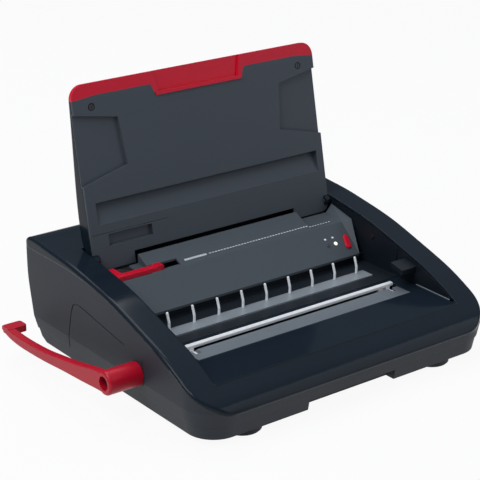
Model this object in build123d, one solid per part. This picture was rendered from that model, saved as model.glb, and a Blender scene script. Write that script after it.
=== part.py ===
"""Wire binding machine: case, hinged lid, motor punch, wire closer and chip drawer.

Working frame, millimetres: X = 0 at the middle of the case, Y = 0 at its front face and
growing to the rear, Z = 0 on the table. The written parts are moved so that the origin lies
at the bottom centre of the whole machine, with the closing handle counted in.
"""
import math
import os

from build123d import *

os.makedirs("parts", exist_ok=True)

# Chassis plates, which set how wide the machine is
plate_inner = 146.0
plate_thickness = 3.0
plate_outer = plate_inner + plate_thickness
hood_right_margin = 14.0
hood_left_margin = 11.0
hood_right = plate_outer + hood_right_margin
hood_left = -plate_outer - hood_left_margin
well_margin = 9.0
arm_inner = hood_right + well_margin
arm_width = 33.0

# Case, outside sizes
case_half = arm_inner + arm_width
case_width = 2 * case_half
case_depth = 354.0
front_corner_radius = 40.0
rear_corner_radius = 12.0
case_wall = 3.0
base_bottom = 8.0
front_edge_height = 36.0
step_line_height = 25.0
lower_band_inset = 1.2
taper_top = 40.0
taper_run = 8.0
deck_rear_height = 124.0
rear_edge_drop = 6.0
rear_wall_top = deck_rear_height - rear_edge_drop
rear_wall_foot = 14.0
rear_wall_run = 21.5
rear_overhang = 2.5
rear_chamfer = 8.0
top_edge_round = 4.0
groove_width = 1.8
groove_depth = 0.8

# Heights of the case top along Y, and of the seam between the tray and the glossy bezel
top_profile = [(3, 43), (10, 50.5), (20, 56.5), (33, 63.5), (47, 71), (73, 83), (108, 95),
               (129, 101.5), (175.5, 115), (232, 125.5), (257, 129.3), (case_depth - 52, 133.5),
               (case_depth - 22, 135.5), (case_depth - 9, 133)]
seam_profile = [(-8, 33.5), (7, 43.2), (20, 51.5), (37, 61.5), (63.5, 74), (85, 83.2), (118, 94.5),
                (159, 106.5), (194, 115), (244, 121), (case_depth - 62, 121.8), (case_depth + 6, 122.5)]

# Well between the arms
well_front = 20.0
well_rear = 280.5
panel_level = 61.4
panel_level_y = 38.0
panel_slope = 0.016
panel_lip = 11.0
panel_rear = 128.0
fit_gap = 0.3
running_gap = 0.05

# Work deck behind the front panel
deck_plate = 2.5
deck_level = 63.0
platform_y = 192.0
platform_level = 72.0
shelf_wall_y = 261.0
shelf_level = 104.0
ledge_width = 22.0
ledge_depth = 20.0
ledge_front = 98.0
ledge_height = 6.0
ledge_top = 84.5
ledge_rise = 4.4
rear_joint = 112.0
wall_proud = 1.2
rib_y = 131.0
rib_foot = 80.0
rib_head = 97.0
stud_y = 176.0
stud_z = 98.0
wall_stud_radius = 3.0
opening_margin = 3.0
opening_step = 14.0

# Wire closer slot, plate and bar
slot_margin = 3.0
slot_half = plate_outer + slot_margin
slot_front = 84.0
slot_rear = 124.0
closer_plate_depth = 24.0
closer_plate_level = 59.0
closer_plate_thickness = 2.5
closer_ledge = 3.0
closer_bar_y = 112.0
closer_bar_depth = 6.0
closer_bar_bottom = 62.0
closer_bar_height = 3.5

# Wire pins, four loops of three-to-one wire apart
wire_pitch = 8.4667
loops_per_pin = 4
pin_row_y = 161.7
pin_radius = 1.5
pin_height = 18.0
pin_knee = 8.0
pin_lean = 3.5
strip_half = plate_inner + 1.0
strip_end = 10.0
pin_pitch = wire_pitch * loops_per_pin
pin_count = 2 * int((strip_half - strip_end) / pin_pitch) + 1
strip_depth = 18.5
strip_rear_margin = 1.8
strip_thickness = 2.0

# Punch hood
hood_slant = 18.0
hood_left_foot = hood_left + hood_slant
hood_front_y = 188.0
hood_front_z = 75.0
hood_crease_y = 222.0
hood_crease_z = 106.0
hood_rear_y = 251.4
hood_rear_z = 120.5
hood_side_z = 109.5
hood_raised_half = 115.0
hood_wall = 2.5
cheek_gap = 0.4
cheek_front_y = 214.0
cheek_front_z = 110.0
cheek_rear_z = 119.0
cheek_inner_start = 8.0

# Side chassis plates
plate_front = 100.0
plate_rear = 260.4
plate_top = 105.0
plate_shoulder = 4.0
plate_slope_run = 14.0
plate_step = 16.0
plate_window_front = 150.0
plate_window_rear = 180.0
plate_window_low = 27.0
plate_window_high = 46.0

# Punch: throat, stripper plate, die plate, bar and pins
throat_width = 5.0
die_thickness = 4.0
die_bottom = 64.0
die_top = 117.0
die_side_top = 104.0
die_cut_half = hood_raised_half - 3.0
stripper_top = 114.5
punch_level = 78.0
punch_end = 6.0
punch_count = int(2 * (plate_inner - punch_end) / wire_pitch) + 1
punch_radius = 2.0
punch_tip_clearance = 2.5
punch_stroke = 10.0
bar_depth = 16.0
bar_bottom = 54.0
bar_top = 88.0
tongue_height = 10.0
relief_half = 26.0
relief_depth = 4.0
relief_height = 12.0
spring_x = 60.0
spring_level = 62.0
spring_radius = 3.6
spring_wire = 0.8
spring_turns = 6
spring_pocket = 8.0

# Cam drive
cam_y = 212.0
cam_z = 62.0
cam_base = 6.0
cam_turn = 170.0
cam_width = 8.0
cam_gap = 1.3
shaft_radius = 4.0
bush_wall = 2.0
bush_flange = 1.5
bush_lip = 0.6
gear_module = 1.0
gear_addendum = 0.8
gear_dedendum = 1.1
gear_backlash = 0.3
pressure_angle = 20.0
cam_teeth = 30
idler_small_teeth = 12
idler_large_teeth = 30
motor_teeth = 10
gear_face = 3.3
gear_side_gap = 0.4
gear_clearance = 1.0
gear_start = plate_outer + gear_clearance
motor_offset_y = -19.0
motor_radius = 18.0
motor_length = 58.0
motor_tail = 4.0
cam_motor_gap = 5.0
cam_x = plate_inner - motor_length - motor_tail - cam_motor_gap - cam_width / 2
motor_shaft_radius = 1.6
motor_shaft_depth = 40.0
stud_radius = 3.0
stud_clip = 1.2

# Closing handle
handle_y = 122.0
handle_z = 48.0
handle_shaft_radius = 5.0
hub_radius = 13.5
hub_reach = 42.0
hub_outer = case_half + hub_reach
hub_clearance = 0.5
arm_thickness = 9.0
arm_round = 1.6
grip_width = 24.0
grip_length = 16.0
dimple_radius = 8.0
dimple_depth = 9.0
shaft_end_gap = 3.0
pinion_teeth = 14
pinion_width = 6.0
pinion_plate_gap = 2.0
pinion_x = plate_inner - pinion_width - pinion_plate_gap
rack_front = 104.0
rack_rear = 142.0
rack_thickness = 2.3
handle_swing = 100.0

# Lid, in its own frame: s runs up the inner face, t goes back from it
lid_lean = 11.2
lid_foot_y = 254.0
lid_foot_z = 111.0
lid_side_gap = 2.0
lid_half = arm_inner - lid_side_gap
lid_top = 208.5
lid_bottom = 12.9
tab_bottom = -0.6
tab_inner = hood_raised_half + 1.0
lid_corner = 16.0
lid_tab_corner = 11.0
lid_back = [(0, 6), (8, 10.5), (16.7, 15), (29.6, 19.5), (45, 20.8), (75, 19.7), (134, 13),
            (175, 8.2)]
lid_top_thickness = 4.6
lid_skin = 2.5
liner_thickness = 3.0
pocket_depth = 4.4
pocket_top = 177.0
pocket_bottom = 95.0
pocket_width = 56.0
recess_bottom = 50.8
recess_top = 76.0
recess_edge = 0.6
recess_depth = 9.0
recess_left = 12.0
recess_right = 10.0
guide_recess_left = 23.0
guide_recess_length = 59.0
guide_recess_bottom = 25.5
guide_recess_height = 13.0
guide_recess_depth = 5.0
groove_s = 39.6
tub_wall = 1.4
hinge_s = 12.6
hinge_t = 0.5
hinge_pin_radius = 1.9
hinge_pin_reach = 8.0
ear_radius = 5.5
ear_width = 6.2
hinge_boss_wall = 2.6
hinge_boss_length = 6.0
trim_height = 14.0
grip_half_top = 66.0
grip_half_bottom = 60.0
grip_drop = 13.5
scoop_depth = 3.0
scoop_rim = 4.0
lip_reach = 1.6
lid_screw_x = lid_half - 24.0
lid_screw_s = 182.0
screw_head_radius = 3.2
screw_head_height = 1.4
screw_shank = 1.4
screw_length = 5.0

# Red edge guide on the left of the hood
guide_pad_left = hood_left - 3.0
guide_pad_width = 13.0
guide_pad_front = 231.0
guide_pad_rear = 249.0
guide_length = 65.0
guide_arm_end = guide_pad_left + guide_length
guide_arm_front = 224.0
guide_arm_depth = 9.5
guide_level = 106.5
guide_height = 4.8
guide_pad_raise = 6.0
guide_travel = 22.0

# Push button and lamps on the hood's front
button_x = hood_right - 8.2
button_along = 19.0
button_turn = 14.0
button_width = 7.6
button_height = 19.0
button_proud = 1.6
button_flange = 1.3
button_flange_rim = 1.2
button_travel = 1.8
lamp_along = 20.5
lamp_xs = (hood_right - 36.4, hood_right - 24.9)
lamp_radius = 2.4
lamp_proud = 0.7
board_depth = 9.0
board_thickness = 1.4
board_left = hood_right - 45.0
board_right = hood_right - 3.5
board_half = 6.0
switch_thickness = 2.8

# Chip drawer and its runners
drawer_half = plate_inner - 8.0
drawer_front = 216.0
drawer_bottom = 16.0
drawer_height = 30.0
drawer_wall = 2.2
drawer_panel = 9.0
drawer_gap = 0.6
drawer_pull_half = 32.0
drawer_pull_height = 14.0
drawer_pull_depth = 6.0
runner_width = 6.0
runner_x = drawer_half - 20.0

# Feet, screws and mains fittings
foot_radius = 21.0
foot_x = plate_inner - 11.0
foot_front_y = foot_radius + 10.0
foot_rear_y = case_depth - 66.0
foot_spigot = 5.0
foot_spigot_height = 2.2
case_screw_x = arm_inner + 17.0
case_screw_front = 66.0
case_screw_rear = case_depth - 58.0
case_screw_radius = 1.8
case_screw_head = 3.6
case_screw_head_height = 2.0
case_screw_length = 16.0
post_radius = 4.5
inlet_x = case_half - 40.0
inlet_z = 62.0
inlet_width = 27.0
inlet_height = 20.0
inlet_depth = 26.0
flange_rim = 4.0
flange_thickness = 2.0
rocker_x = inlet_x - 45.0
rocker_width = 13.0
rocker_height = 19.0
rocker_housing_depth = 20.0
rocker_tilt = 12.0
rocker_rise = 3.4
rocker_pivot_depth = 2.2

# Boards inside the case
main_board_x = arm_inner + 14.0
main_board_post_gap = 12.0
main_board_length = 78.0
main_board_rear = case_screw_rear - main_board_post_gap
main_board_y = (main_board_rear - main_board_length, main_board_rear)
main_board_z = (16.0, 84.0)

# Hand notch in the front skirt
notch_left = -65.0
notch_right = 57.0
notch_top = 20.0
notch_depth = 20.0

# Worked-out values
rear_slope = rear_wall_run / (rear_wall_top - rear_wall_foot)
rear_angle = math.degrees(math.atan(rear_slope))
rear_wall_y = case_depth - rear_overhang
deck_rear_y = case_depth - 1.0
lean = math.radians(lid_lean)
hinge_y = lid_foot_y + hinge_s * math.sin(lean) + hinge_t * math.cos(lean)
hinge_z = lid_foot_z + hinge_s * math.cos(lean) - hinge_t * math.sin(lean)
bar_front = cam_y + cam_base + cam_gap
throat_front = hood_rear_y
throat_rear = throat_front + throat_width
punch_pitch_half = (punch_count - 1) * wire_pitch / 2
handle_reach = hub_outer
centre_x = (case_half - handle_reach) / 2
centre_y = case_depth / 2
face_run = hood_crease_y - hood_front_y
face_rise = hood_crease_z - hood_front_z
face_angle = math.degrees(math.atan2(face_rise, face_run))


def box(x0, x1, y0, y1, z0, z1):
    """A block between two corners."""
    return Pos((x0 + x1) / 2, (y0 + y1) / 2, (z0 + z1) / 2) * Box(x1 - x0, y1 - y0, z1 - z0)


def rod_x(x0, x1, y, z, radius):
    """A round bar along X."""
    return Pos((x0 + x1) / 2, y, z) * Rot(0, 90, 0) * Cylinder(radius, x1 - x0)


def rod_y(x, y0, y1, z, radius):
    """A round bar along Y."""
    return Pos(x, (y0 + y1) / 2, z) * Rot(90, 0, 0) * Cylinder(radius, y1 - y0)


def rod_z(x, y, z0, z1, radius):
    """A round bar along Z."""
    return Pos(x, y, (z0 + z1) / 2) * Cylinder(radius, z1 - z0)


def prism_x(points, x0, x1):
    """A straight-sided outline in (y, z), pulled along X."""
    face = make_face(Polyline(*points, close=True))
    return extrude(Plane.YZ.offset(x0) * face, x1 - x0)


def curved_prism_x(curve_points, corner_points, x0, x1):
    """An outline in (y, z) with a smooth run, closed by straight ones, pulled along X."""
    curve = Spline(*curve_points)
    rest = Polyline(curve_points[-1], *corner_points, curve_points[0])
    face = make_face(curve + rest)
    return extrude(Plane.YZ.offset(x0) * face, x1 - x0)


def inset(points, distance):
    """The points of a closed outline, moved inwards by a distance."""
    count = len(points)
    moved = []
    for i in range(count):
        before = points[i - 1]
        here = points[i]
        after = points[(i + 1) % count]
        a = (here[0] - before[0], here[1] - before[1])
        b = (after[0] - here[0], after[1] - here[1])
        la = math.hypot(*a)
        lb = math.hypot(*b)
        n = (a[1] / la + b[1] / lb, -a[0] / la - b[0] / lb)
        size = math.hypot(*n)
        half = size / 2
        moved.append((here[0] + n[0] / size * distance / half,
                      here[1] + n[1] / size * distance / half))
    return moved


def both_sides(shape):
    """A shape and its mirror image about the middle of the case."""
    return [shape, mirror(shape, Plane.YZ)]


def rear_y(z):
    """Where the sloping rear wall lies at a height."""
    return rear_wall_y - (rear_wall_top - z) * rear_slope


def panel_z(y):
    """Height of the glossy front panel inside the well."""
    return panel_level + (y - panel_level_y) * panel_slope


def at_rear(x, z):
    """A place on the rear wall, local +Y pointing out of the case."""
    return Pos(x, rear_y(z), z) * Rot(-rear_angle, 0, 0)


def on_face(x, along):
    """A place on the hood's front, local +Y up the slope and +Z out of it."""
    angle = math.radians(face_angle)
    y = hood_front_y + along * math.cos(angle)
    z = hood_front_z + along * math.sin(angle)
    return Pos(x, y, z) * Rot(face_angle, 0, 0)


def in_lid(shape):
    """A piece drawn in the lid's frame, put where the open lid stands."""
    return Pos(0, lid_foot_y, lid_foot_z) * Rot(-lid_lean, 0, 0) * shape


def save(name, solids):
    """Write one node, moved to the machine's bottom centre."""
    group = solids if isinstance(solids, list) else [solids]
    pieces = []
    for item in group:
        pieces.extend(item.solids())
    placed = [Pos(-centre_x, -centre_y, 0) * piece for piece in pieces]
    node = placed[0] if len(placed) == 1 else Compound(children=placed)
    export_step(node, f"parts/{name}.step")


def top_points():
    """Side outline of the case: the top from front to rear."""
    start = (0, front_edge_height)
    return [start] + list(top_profile) + [(deck_rear_y, deck_rear_height)]


def lower_points():
    """Side outline of the case: down the rear, along the bottom and to the front face."""
    return [(rear_wall_y, rear_wall_top), (rear_y(rear_wall_foot), rear_wall_foot),
            (rear_y(rear_wall_foot) - rear_chamfer, base_bottom), (0, base_bottom)]


def plan_outline(margin):
    """The case's outline from above, less a margin, with wider corners in front."""
    outline = Rectangle(case_width - 2 * margin, case_depth - 2 * margin)
    ends = outline.vertices().group_by(Axis.Y)
    outline = fillet(ends[0], front_corner_radius - margin)
    return fillet(outline.vertices().group_by(Axis.Y)[-1], rear_corner_radius - margin)


def plan_prism(margin, z0, z1):
    """The case's plan outline, less a margin, between two heights."""
    return extrude(Pos(0, case_depth / 2, z0) * plan_outline(margin), z1 - z0)


def tapered_foot(margin):
    """The lower part of the plan outline, drawn in towards the table."""
    angle = math.degrees(math.atan(taper_run / taper_top))
    level = Pos(0, case_depth / 2, taper_top) * plan_outline(margin)
    return extrude(level, taper_top, dir=(0, 0, -1), taper=angle)


def case_envelope(margin):
    """Everything inside the case's outer surface, less a margin."""
    tops = top_points()
    outline = inset(tops + lower_points(), margin) if margin else tops + lower_points()
    count = len(tops)
    body = curved_prism_x(outline[:count], outline[count:], -case_half, case_half)
    return body & (plan_prism(margin, taper_top, 200) + tapered_foot(margin))


def under_roof(margin):
    """The space below the roof's inner face."""
    tops = top_points()
    curve = inset(tops + lower_points(), margin)[:len(tops)]
    last = curve[-1]
    corners = [(last[0] + 40, last[1]), (last[0] + 40, -20), (-20, -20), (-20, curve[0][1])]
    return curved_prism_x(curve, corners, -case_half - 20, case_half + 20)


def rounded_case():
    """The outer body with softened top edges and a stepped-in lower band."""
    body = case_envelope(0)
    sides = [edge for edge in body.edges()
             if abs(abs(edge.center().X) - case_half) < 0.01 and edge.center().Z > 60]
    body = fillet(sides, top_edge_round)
    band = box(-case_half - 1, case_half + 1, -1, case_depth + 1, 0, step_line_height)
    return body - (band - tapered_foot(lower_band_inset))


case_solid = rounded_case()
case_hollow = case_envelope(case_wall)
roof_under = under_roof(case_wall + running_gap)
above_seam = curved_prism_x(seam_profile, [(seam_profile[-1][0], 220), (seam_profile[0][0], 220)],
                            -case_half - 5, case_half + 5)
tray_zone = roof_under - above_seam


def case_posts():
    """Places of the four posts that hold the bezel on the tray."""
    return [(side * case_screw_x, y) for side in (-1, 1)
            for y in (case_screw_front, case_screw_rear)]


def make_bezel():
    """Glossy upper shell: arms, rear deck and the front panel with the closer slot."""
    shell = case_solid - case_hollow - tray_zone
    well = prism_x([(well_front, panel_z(well_front)), (well_rear, panel_z(well_rear)),
                    (well_rear, 220), (well_front, 220)], -arm_inner, arm_inner)
    shell = shell - well
    front = panel_level_y - panel_lip
    panel = prism_x([(front, panel_z(front)), (panel_rear, panel_z(panel_rear)),
                     (panel_rear, panel_z(panel_rear) - case_wall),
                     (front, panel_z(front) - case_wall)], -arm_inner + fit_gap, arm_inner - fit_gap)
    slot_wall = case_wall
    rim_bottom = closer_plate_level - closer_plate_thickness
    top = panel_z(slot_front) - 0.5
    rim = box(-slot_half - slot_wall, slot_half + slot_wall, slot_front - slot_wall,
              slot_front + closer_plate_depth, rim_bottom, top)
    rim = rim - box(-slot_half, slot_half, slot_front, slot_rear, closer_plate_level, 100)
    rim = rim - box(-slot_half + closer_ledge, slot_half - closer_ledge,
                    slot_front + closer_ledge, slot_rear, 0, 100)
    slot = box(-slot_half, slot_half, slot_front, slot_rear, closer_plate_level, 100)
    shell = shell + (panel - slot) + rim
    post_space = under_roof(case_wall - 1)
    for x, y in case_posts():
        post = rod_z(x, y, base_bottom + case_wall + fit_gap, 200, post_radius) & post_space
        hole = rod_z(x, y, 0, base_bottom + case_screw_head_height + case_screw_length,
                     case_screw_radius + running_gap)
        shell = shell + post - hole
    return shell


def make_tray():
    """Matt base: floor, sides, rear wall and the cut-outs in them."""
    tray = (case_solid - case_hollow) & tray_zone
    tub = box(notch_left - case_wall, notch_right + case_wall, taper_run + lower_band_inset,
              notch_depth + case_wall, base_bottom, notch_top + case_wall)
    notch = box(notch_left, notch_right, -5, notch_depth, 0, notch_top)
    tray = tray + tub - notch
    tray = tray - rod_x(-case_half - 1, -case_half + case_wall + 1, handle_y, handle_z,
                        handle_bush_radius())
    tray = tray - box(-drawer_half - drawer_gap, drawer_half + drawer_gap, drawer_front,
                      case_depth + 5, drawer_bottom - drawer_gap,
                      drawer_bottom + drawer_height + drawer_gap)
    inlet_hole = Box(inlet_width + 2 * fit_gap, 40, inlet_height + 2 * fit_gap)
    rocker_hole = Box(rocker_width + 4 + 2 * fit_gap, 40, rocker_height + 4 + 2 * fit_gap)
    tray = tray - at_rear(inlet_x, inlet_z) * inlet_hole
    tray = tray - at_rear(rocker_x, inlet_z) * rocker_hole
    for x, y in case_posts():
        tray = tray - rod_z(x, y, 0, base_bottom + case_wall + 1, case_screw_radius + running_gap)
        tray = tray - rod_z(x, y, 0, base_bottom + case_screw_head_height,
                            case_screw_head + fit_gap)
    for x, y in foot_places():
        tray = tray - rod_z(x, y, 0, base_bottom + foot_spigot_height, foot_spigot + running_gap)
    return tray - side_grooves()


def side_grooves():
    """Shallow panel lines on the left side, round the field behind the handle."""
    long_line = Polyline((264, 15.5), (251.5, 73), (246, 84), (236, 87), (194, 80), (145, 72))
    short_line = Line((111, 37.5), (112, 67))
    groove = trace(long_line, line_width=groove_width) + trace(short_line, line_width=groove_width)
    band = extrude(Plane.YZ.offset(-case_half - 1) * groove, 20)
    return band - case_envelope(groove_depth)


def foot_places():
    """Centres of the four feet."""
    return [(side * foot_x, y) for side in (-1, 1) for y in (foot_front_y, foot_rear_y)]


def make_feet():
    """Rubber feet with a spigot in the floor, all in one node."""
    feet = []
    for x, y in foot_places():
        pad = rod_z(x, y, 0, base_bottom, foot_radius)
        pad = chamfer(pad.edges().group_by(Axis.Z)[0], 1.5)
        feet.append(pad + rod_z(x, y, base_bottom - 1, base_bottom + foot_spigot_height,
                                foot_spigot))
    return feet


def make_case_screws():
    """Screws from below, through the floor into the bezel's posts."""
    screws = []
    for x, y in case_posts():
        low = base_bottom + 0.2
        seat = base_bottom + case_screw_head_height
        head = rod_z(x, y, low, seat, case_screw_head)
        shank = rod_z(x, y, seat - 0.1, seat + case_screw_length - 1, case_screw_radius)
        drive = box(x - 2.4, x + 2.4, y - 0.5, y + 0.5, low - 1, low + 0.9)
        drive = drive + box(x - 0.5, x + 0.5, y - 2.4, y + 2.4, low - 1, low + 0.9)
        screws.append(head + shank - drive)
    return screws


def make_work_deck():
    """Matt inner tray: stepped floor, shelf behind the throat and the well's side walls."""
    start = panel_rear + fit_gap
    top_line = [(start, deck_level), (platform_y, deck_level), (platform_y, platform_level),
                (shelf_wall_y, platform_level), (shelf_wall_y, shelf_level),
                (well_rear, shelf_level), (well_rear, rear_joint)]
    back_line = [(well_rear + deck_plate, rear_joint),
                 (well_rear + deck_plate, shelf_level - deck_plate),
                 (shelf_wall_y + deck_plate, shelf_level - deck_plate),
                 (shelf_wall_y + deck_plate, platform_level - deck_plate),
                 (platform_y + deck_plate, platform_level - deck_plate),
                 (platform_y + deck_plate, deck_level - deck_plate),
                 (start, deck_level - deck_plate)]
    floor = prism_x(top_line + back_line, -arm_inner, arm_inner)
    rear = box(-arm_inner, arm_inner, well_rear + 0.5, well_rear + deck_plate, rear_joint - 1,
               deck_rear_height)
    clear = under_roof(case_wall + fit_gap)
    side = box(arm_inner, arm_inner + deck_plate, panel_level_y + 2, well_rear + deck_plate,
               panel_level - 8, deck_rear_height + 10) & clear
    boss = rod_x(arm_inner, arm_inner + deck_plate + hinge_boss_length, hinge_y, hinge_z,
                 hinge_pin_radius + hinge_boss_wall) & clear
    rib = box(arm_inner - wall_proud, arm_inner + 1, rib_y, rib_y + deck_plate, rib_foot, rib_head)
    stud = rod_x(arm_inner - wall_proud, arm_inner + 1, stud_y, stud_z, wall_stud_radius)
    ledge = prism_x([(ledge_front, ledge_top - ledge_height), (ledge_front, ledge_top),
                     (ledge_front + ledge_depth, ledge_top + ledge_rise),
                     (ledge_front + ledge_depth, ledge_top + ledge_rise - ledge_height)],
                    arm_inner - ledge_width, arm_inner + 1)
    wall = side + boss + rib + stud
    deck = floor + (rear & clear) + wall + mirror(wall, Plane.YZ) + ledge
    hole_right = hood_right - hood_wall - 1
    step = platform_y + opening_step
    deck = deck - box(-plate_outer - 2, hole_right, step, shelf_wall_y - 0.01, 50, 120)
    deck = deck - box(hood_left_foot - 1, hole_right, platform_y + opening_margin, step + 1, 50,
                      120)
    pin_hole = hinge_pin_radius + running_gap
    deck = deck - rod_x(-case_half, case_half, hinge_y, hinge_z, pin_hole)
    for x in pin_places():
        deck = deck - rod_z(x, pin_row_y, 50, 70, pin_radius + running_gap)
    return deck


def pin_places():
    """X of each wire pin."""
    middle = (pin_count - 1) / 2
    return [(i - middle) * pin_pitch for i in range(pin_count)]


def make_pin_strip():
    """Bright steel strip that the wire pins stand in."""
    rear = pin_row_y + strip_rear_margin
    strip = box(-strip_half, strip_half, rear - strip_depth, rear, deck_level,
                deck_level + strip_thickness)
    for x in pin_places():
        strip = strip - rod_z(x, pin_row_y, 50, 80, pin_radius + running_gap)
    return strip


def make_wire_pins():
    """Upright pins that carry the open wire, kinked back at the tips."""
    pins = []
    foot = deck_level + strip_thickness
    for x in pin_places():
        knee = foot + pin_knee
        tip = foot + pin_height
        rise = tip - knee
        tilt = math.degrees(math.atan2(pin_lean, rise))
        length = math.hypot(pin_lean, rise)
        lower = rod_z(x, pin_row_y, deck_level - deck_plate, knee, pin_radius)
        upper = Pos(x, pin_row_y, knee) * Rot(-tilt, 0, 0) * Pos(0, 0, length / 2) * Cylinder(
            pin_radius, length)
        end = Pos(x, pin_row_y + pin_lean, tip) * Sphere(pin_radius)
        pins.append(lower + Pos(x, pin_row_y, knee) * Sphere(pin_radius) + upper + end)
    return pins


def hood_outer(x0, x1, rear_height, margin):
    """The hood's solid form between two X places, less a margin."""
    points = [(hood_front_y, platform_level), (hood_front_y, hood_front_z),
              (hood_crease_y, hood_crease_z), (hood_rear_y, rear_height),
              (hood_rear_y, platform_level)]
    if margin:
        shrunk = inset(points, margin)
        foot = platform_level - 5
        points = [(shrunk[0][0], foot)] + shrunk[1:4] + [(hood_rear_y + 1, shrunk[3][1]),
                                                         (hood_rear_y + 1, foot)]
    return prism_x(points, x0, x1)


def left_slant(margin):
    """The part cut off the hood's left end, where it slants back."""
    run = hood_crease_y - hood_front_y
    side = hood_left - hood_left_foot
    length = math.hypot(run, side)
    shift = margin * length / run
    points = [(hood_left_foot + shift, hood_front_y), (hood_left + shift, hood_crease_y),
              (hood_left - 30, hood_crease_y), (hood_left - 30, hood_front_y - 20),
              (hood_left_foot + shift - 20 * side / run, hood_front_y - 20)]
    face = make_face(Polyline(*points, close=True))
    return extrude(Pos(0, 0, platform_level - 10) * face, 60)


def faceted(points, sides):
    """A solid with flat sides, each given by the numbers of its corner points."""
    faces = [make_face(Polyline(*[points[i] for i in side], close=True)).face() for side in sides]
    return Solid(Shell(faces))


def right_cheek(margin):
    """Flank that rises from the hood's right end to the well's wall, less a margin."""
    inner_x = hood_right - margin
    outer_x = arm_inner - cheek_gap - margin
    drop = 1.5 * margin
    foot = platform_level - 2 * margin
    rear = hood_rear_y + 0.4 * margin
    start = cheek_inner_start if margin else 0
    low_y = hood_front_y + start
    low_z = hood_front_z + start * face_rise / face_run - drop
    points = [(inner_x, low_y, foot), (outer_x, cheek_front_y + margin, foot),
              (outer_x, rear, foot), (inner_x, rear, foot), (inner_x, low_y, low_z),
              (outer_x, cheek_front_y + margin, cheek_front_z - drop),
              (outer_x, rear, cheek_rear_z - drop), (inner_x, rear, hood_side_z - drop),
              (inner_x, hood_crease_y, hood_crease_z - drop)]
    sides = [(0, 1, 2, 3), (0, 4, 5, 1), (1, 5, 6, 2), (2, 6, 7, 3), (3, 7, 8, 4, 0), (4, 8, 5),
             (8, 6, 5), (8, 7, 6)]
    return faceted(points, sides)


def make_hood():
    """Matt hood over the punch, with its button, lamp and guide openings."""
    low = hood_outer(hood_left, hood_right, hood_side_z, 0)
    high = hood_outer(-hood_raised_half, hood_raised_half, hood_rear_z, 0)
    form = low + high + right_cheek(0) - left_slant(0)
    inner = hood_outer(hood_left + hood_wall, hood_right - hood_wall, hood_side_z, hood_wall)
    inner = inner + hood_outer(-hood_raised_half + hood_wall, hood_raised_half - hood_wall,
                               hood_rear_z, hood_wall)
    hood = form - (inner - left_slant(hood_wall)) - right_cheek(hood_wall)
    window = SlotOverall(button_height + 2 * fit_gap, button_width + 2 * fit_gap, rotation=90)
    hood = hood - button_place() * Pos(0, 0, -10) * extrude(window, 20)
    for x in lamp_xs:
        hood = hood - on_face(x, lamp_along) * Cylinder(lamp_radius + running_gap, 20)
    slot_left = guide_pad_left + guide_pad_width
    slot_right = guide_arm_end + guide_travel + 1
    hood = hood - box(slot_left - 20, slot_right, guide_arm_front - fit_gap,
                      guide_arm_front + guide_arm_depth + fit_gap, guide_level - fit_gap, 130)
    hood = hood - box(hood_left - 10, guide_pad_left + guide_pad_width + guide_travel + 1,
                      guide_pad_front - fit_gap, hood_rear_y + 2, guide_level - fit_gap, 130)
    for x in (board_left + 5, board_right - 20):
        post = on_face(x, lamp_along + 4) * Pos(0, 0, -board_depth / 2) * Cylinder(1.8, board_depth)
        hood = hood + (post - on_face(x, lamp_along + 4) * Pos(0, 0, 5) * Cylinder(3, 10))
    return hood


def make_edge_guide():
    """Red sliding guide for the paper's left edge."""
    low = guide_level
    arm = box(guide_pad_left + 2, guide_arm_end, guide_arm_front, guide_arm_front + guide_arm_depth,
              low, low + guide_height)
    grip = box(guide_arm_end - 10, guide_arm_end, guide_arm_front, guide_arm_front + guide_arm_depth,
               low, low + guide_height + 1.4)
    grip = chamfer(grip.edges().filter_by(Axis.Y).group_by(Axis.Z)[-1], 1.2)
    pad = box(guide_pad_left, guide_pad_left + guide_pad_width, guide_arm_front, guide_pad_rear,
              low, low + guide_pad_raise)
    pad = chamfer(pad.edges().filter_by(Axis.X).group_by(Axis.Z)[-1].sort_by(Axis.Y)[0], 2.5)
    tongue = box(guide_arm_end - 30, guide_arm_end - 14, guide_arm_front + 1.5,
                 guide_arm_front + guide_arm_depth - 1.5, low - 0.01, low + 1)
    return arm + grip + pad + tongue


def button_place():
    """Where the punch button sits on the hood's front, turned with the hood's right edge."""
    return on_face(button_x, button_along) * Rot(0, 0, -button_turn)


def make_button():
    """Red pill-shaped punch button with a flange behind the hood's wall."""
    pill = SlotOverall(button_height, button_width, rotation=90)
    rim = SlotOverall(button_height + 2 * button_flange_rim + 1,
                      button_width + 2 * button_flange_rim, rotation=90)
    back = hood_wall + fit_gap
    cap = extrude(pill, button_proud + back)
    cap = Pos(0, 0, -back) * cap
    top = cap.edges().group_by(Axis.Z)[-1]
    cap = fillet(top, 1.0)
    flange = Pos(0, 0, -back - button_flange) * extrude(rim, button_flange)
    return button_place() * (cap + flange)


def make_switch():
    """Small switch behind the button, on the lamp board."""
    place = on_face(button_x, button_along)
    body = Pos(0, 0, -board_depth + switch_thickness / 2) * Box(6, 8, switch_thickness)
    return place * body


def coil(radius, height, turns, wire):
    """An open coil spring along Z, starting at Z = 0."""
    path = Helix(pitch=(height - wire) / turns, height=height - wire, radius=radius)
    start = path @ 0
    profile = Plane(origin=start, z_dir=path % 0) * Circle(wire / 2)
    return Pos(0, 0, wire / 2) * sweep(profile, path, is_frenet=True)


def make_button_spring():
    """Coil between the button's flange and the switch."""
    top = hood_wall + fit_gap + button_flange
    gap = board_depth - switch_thickness - top
    spring = coil(2.2, gap - 0.3, 2, 0.5)
    return on_face(button_x, button_along) * Pos(0, 0, -top - gap + 0.15) * spring


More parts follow.
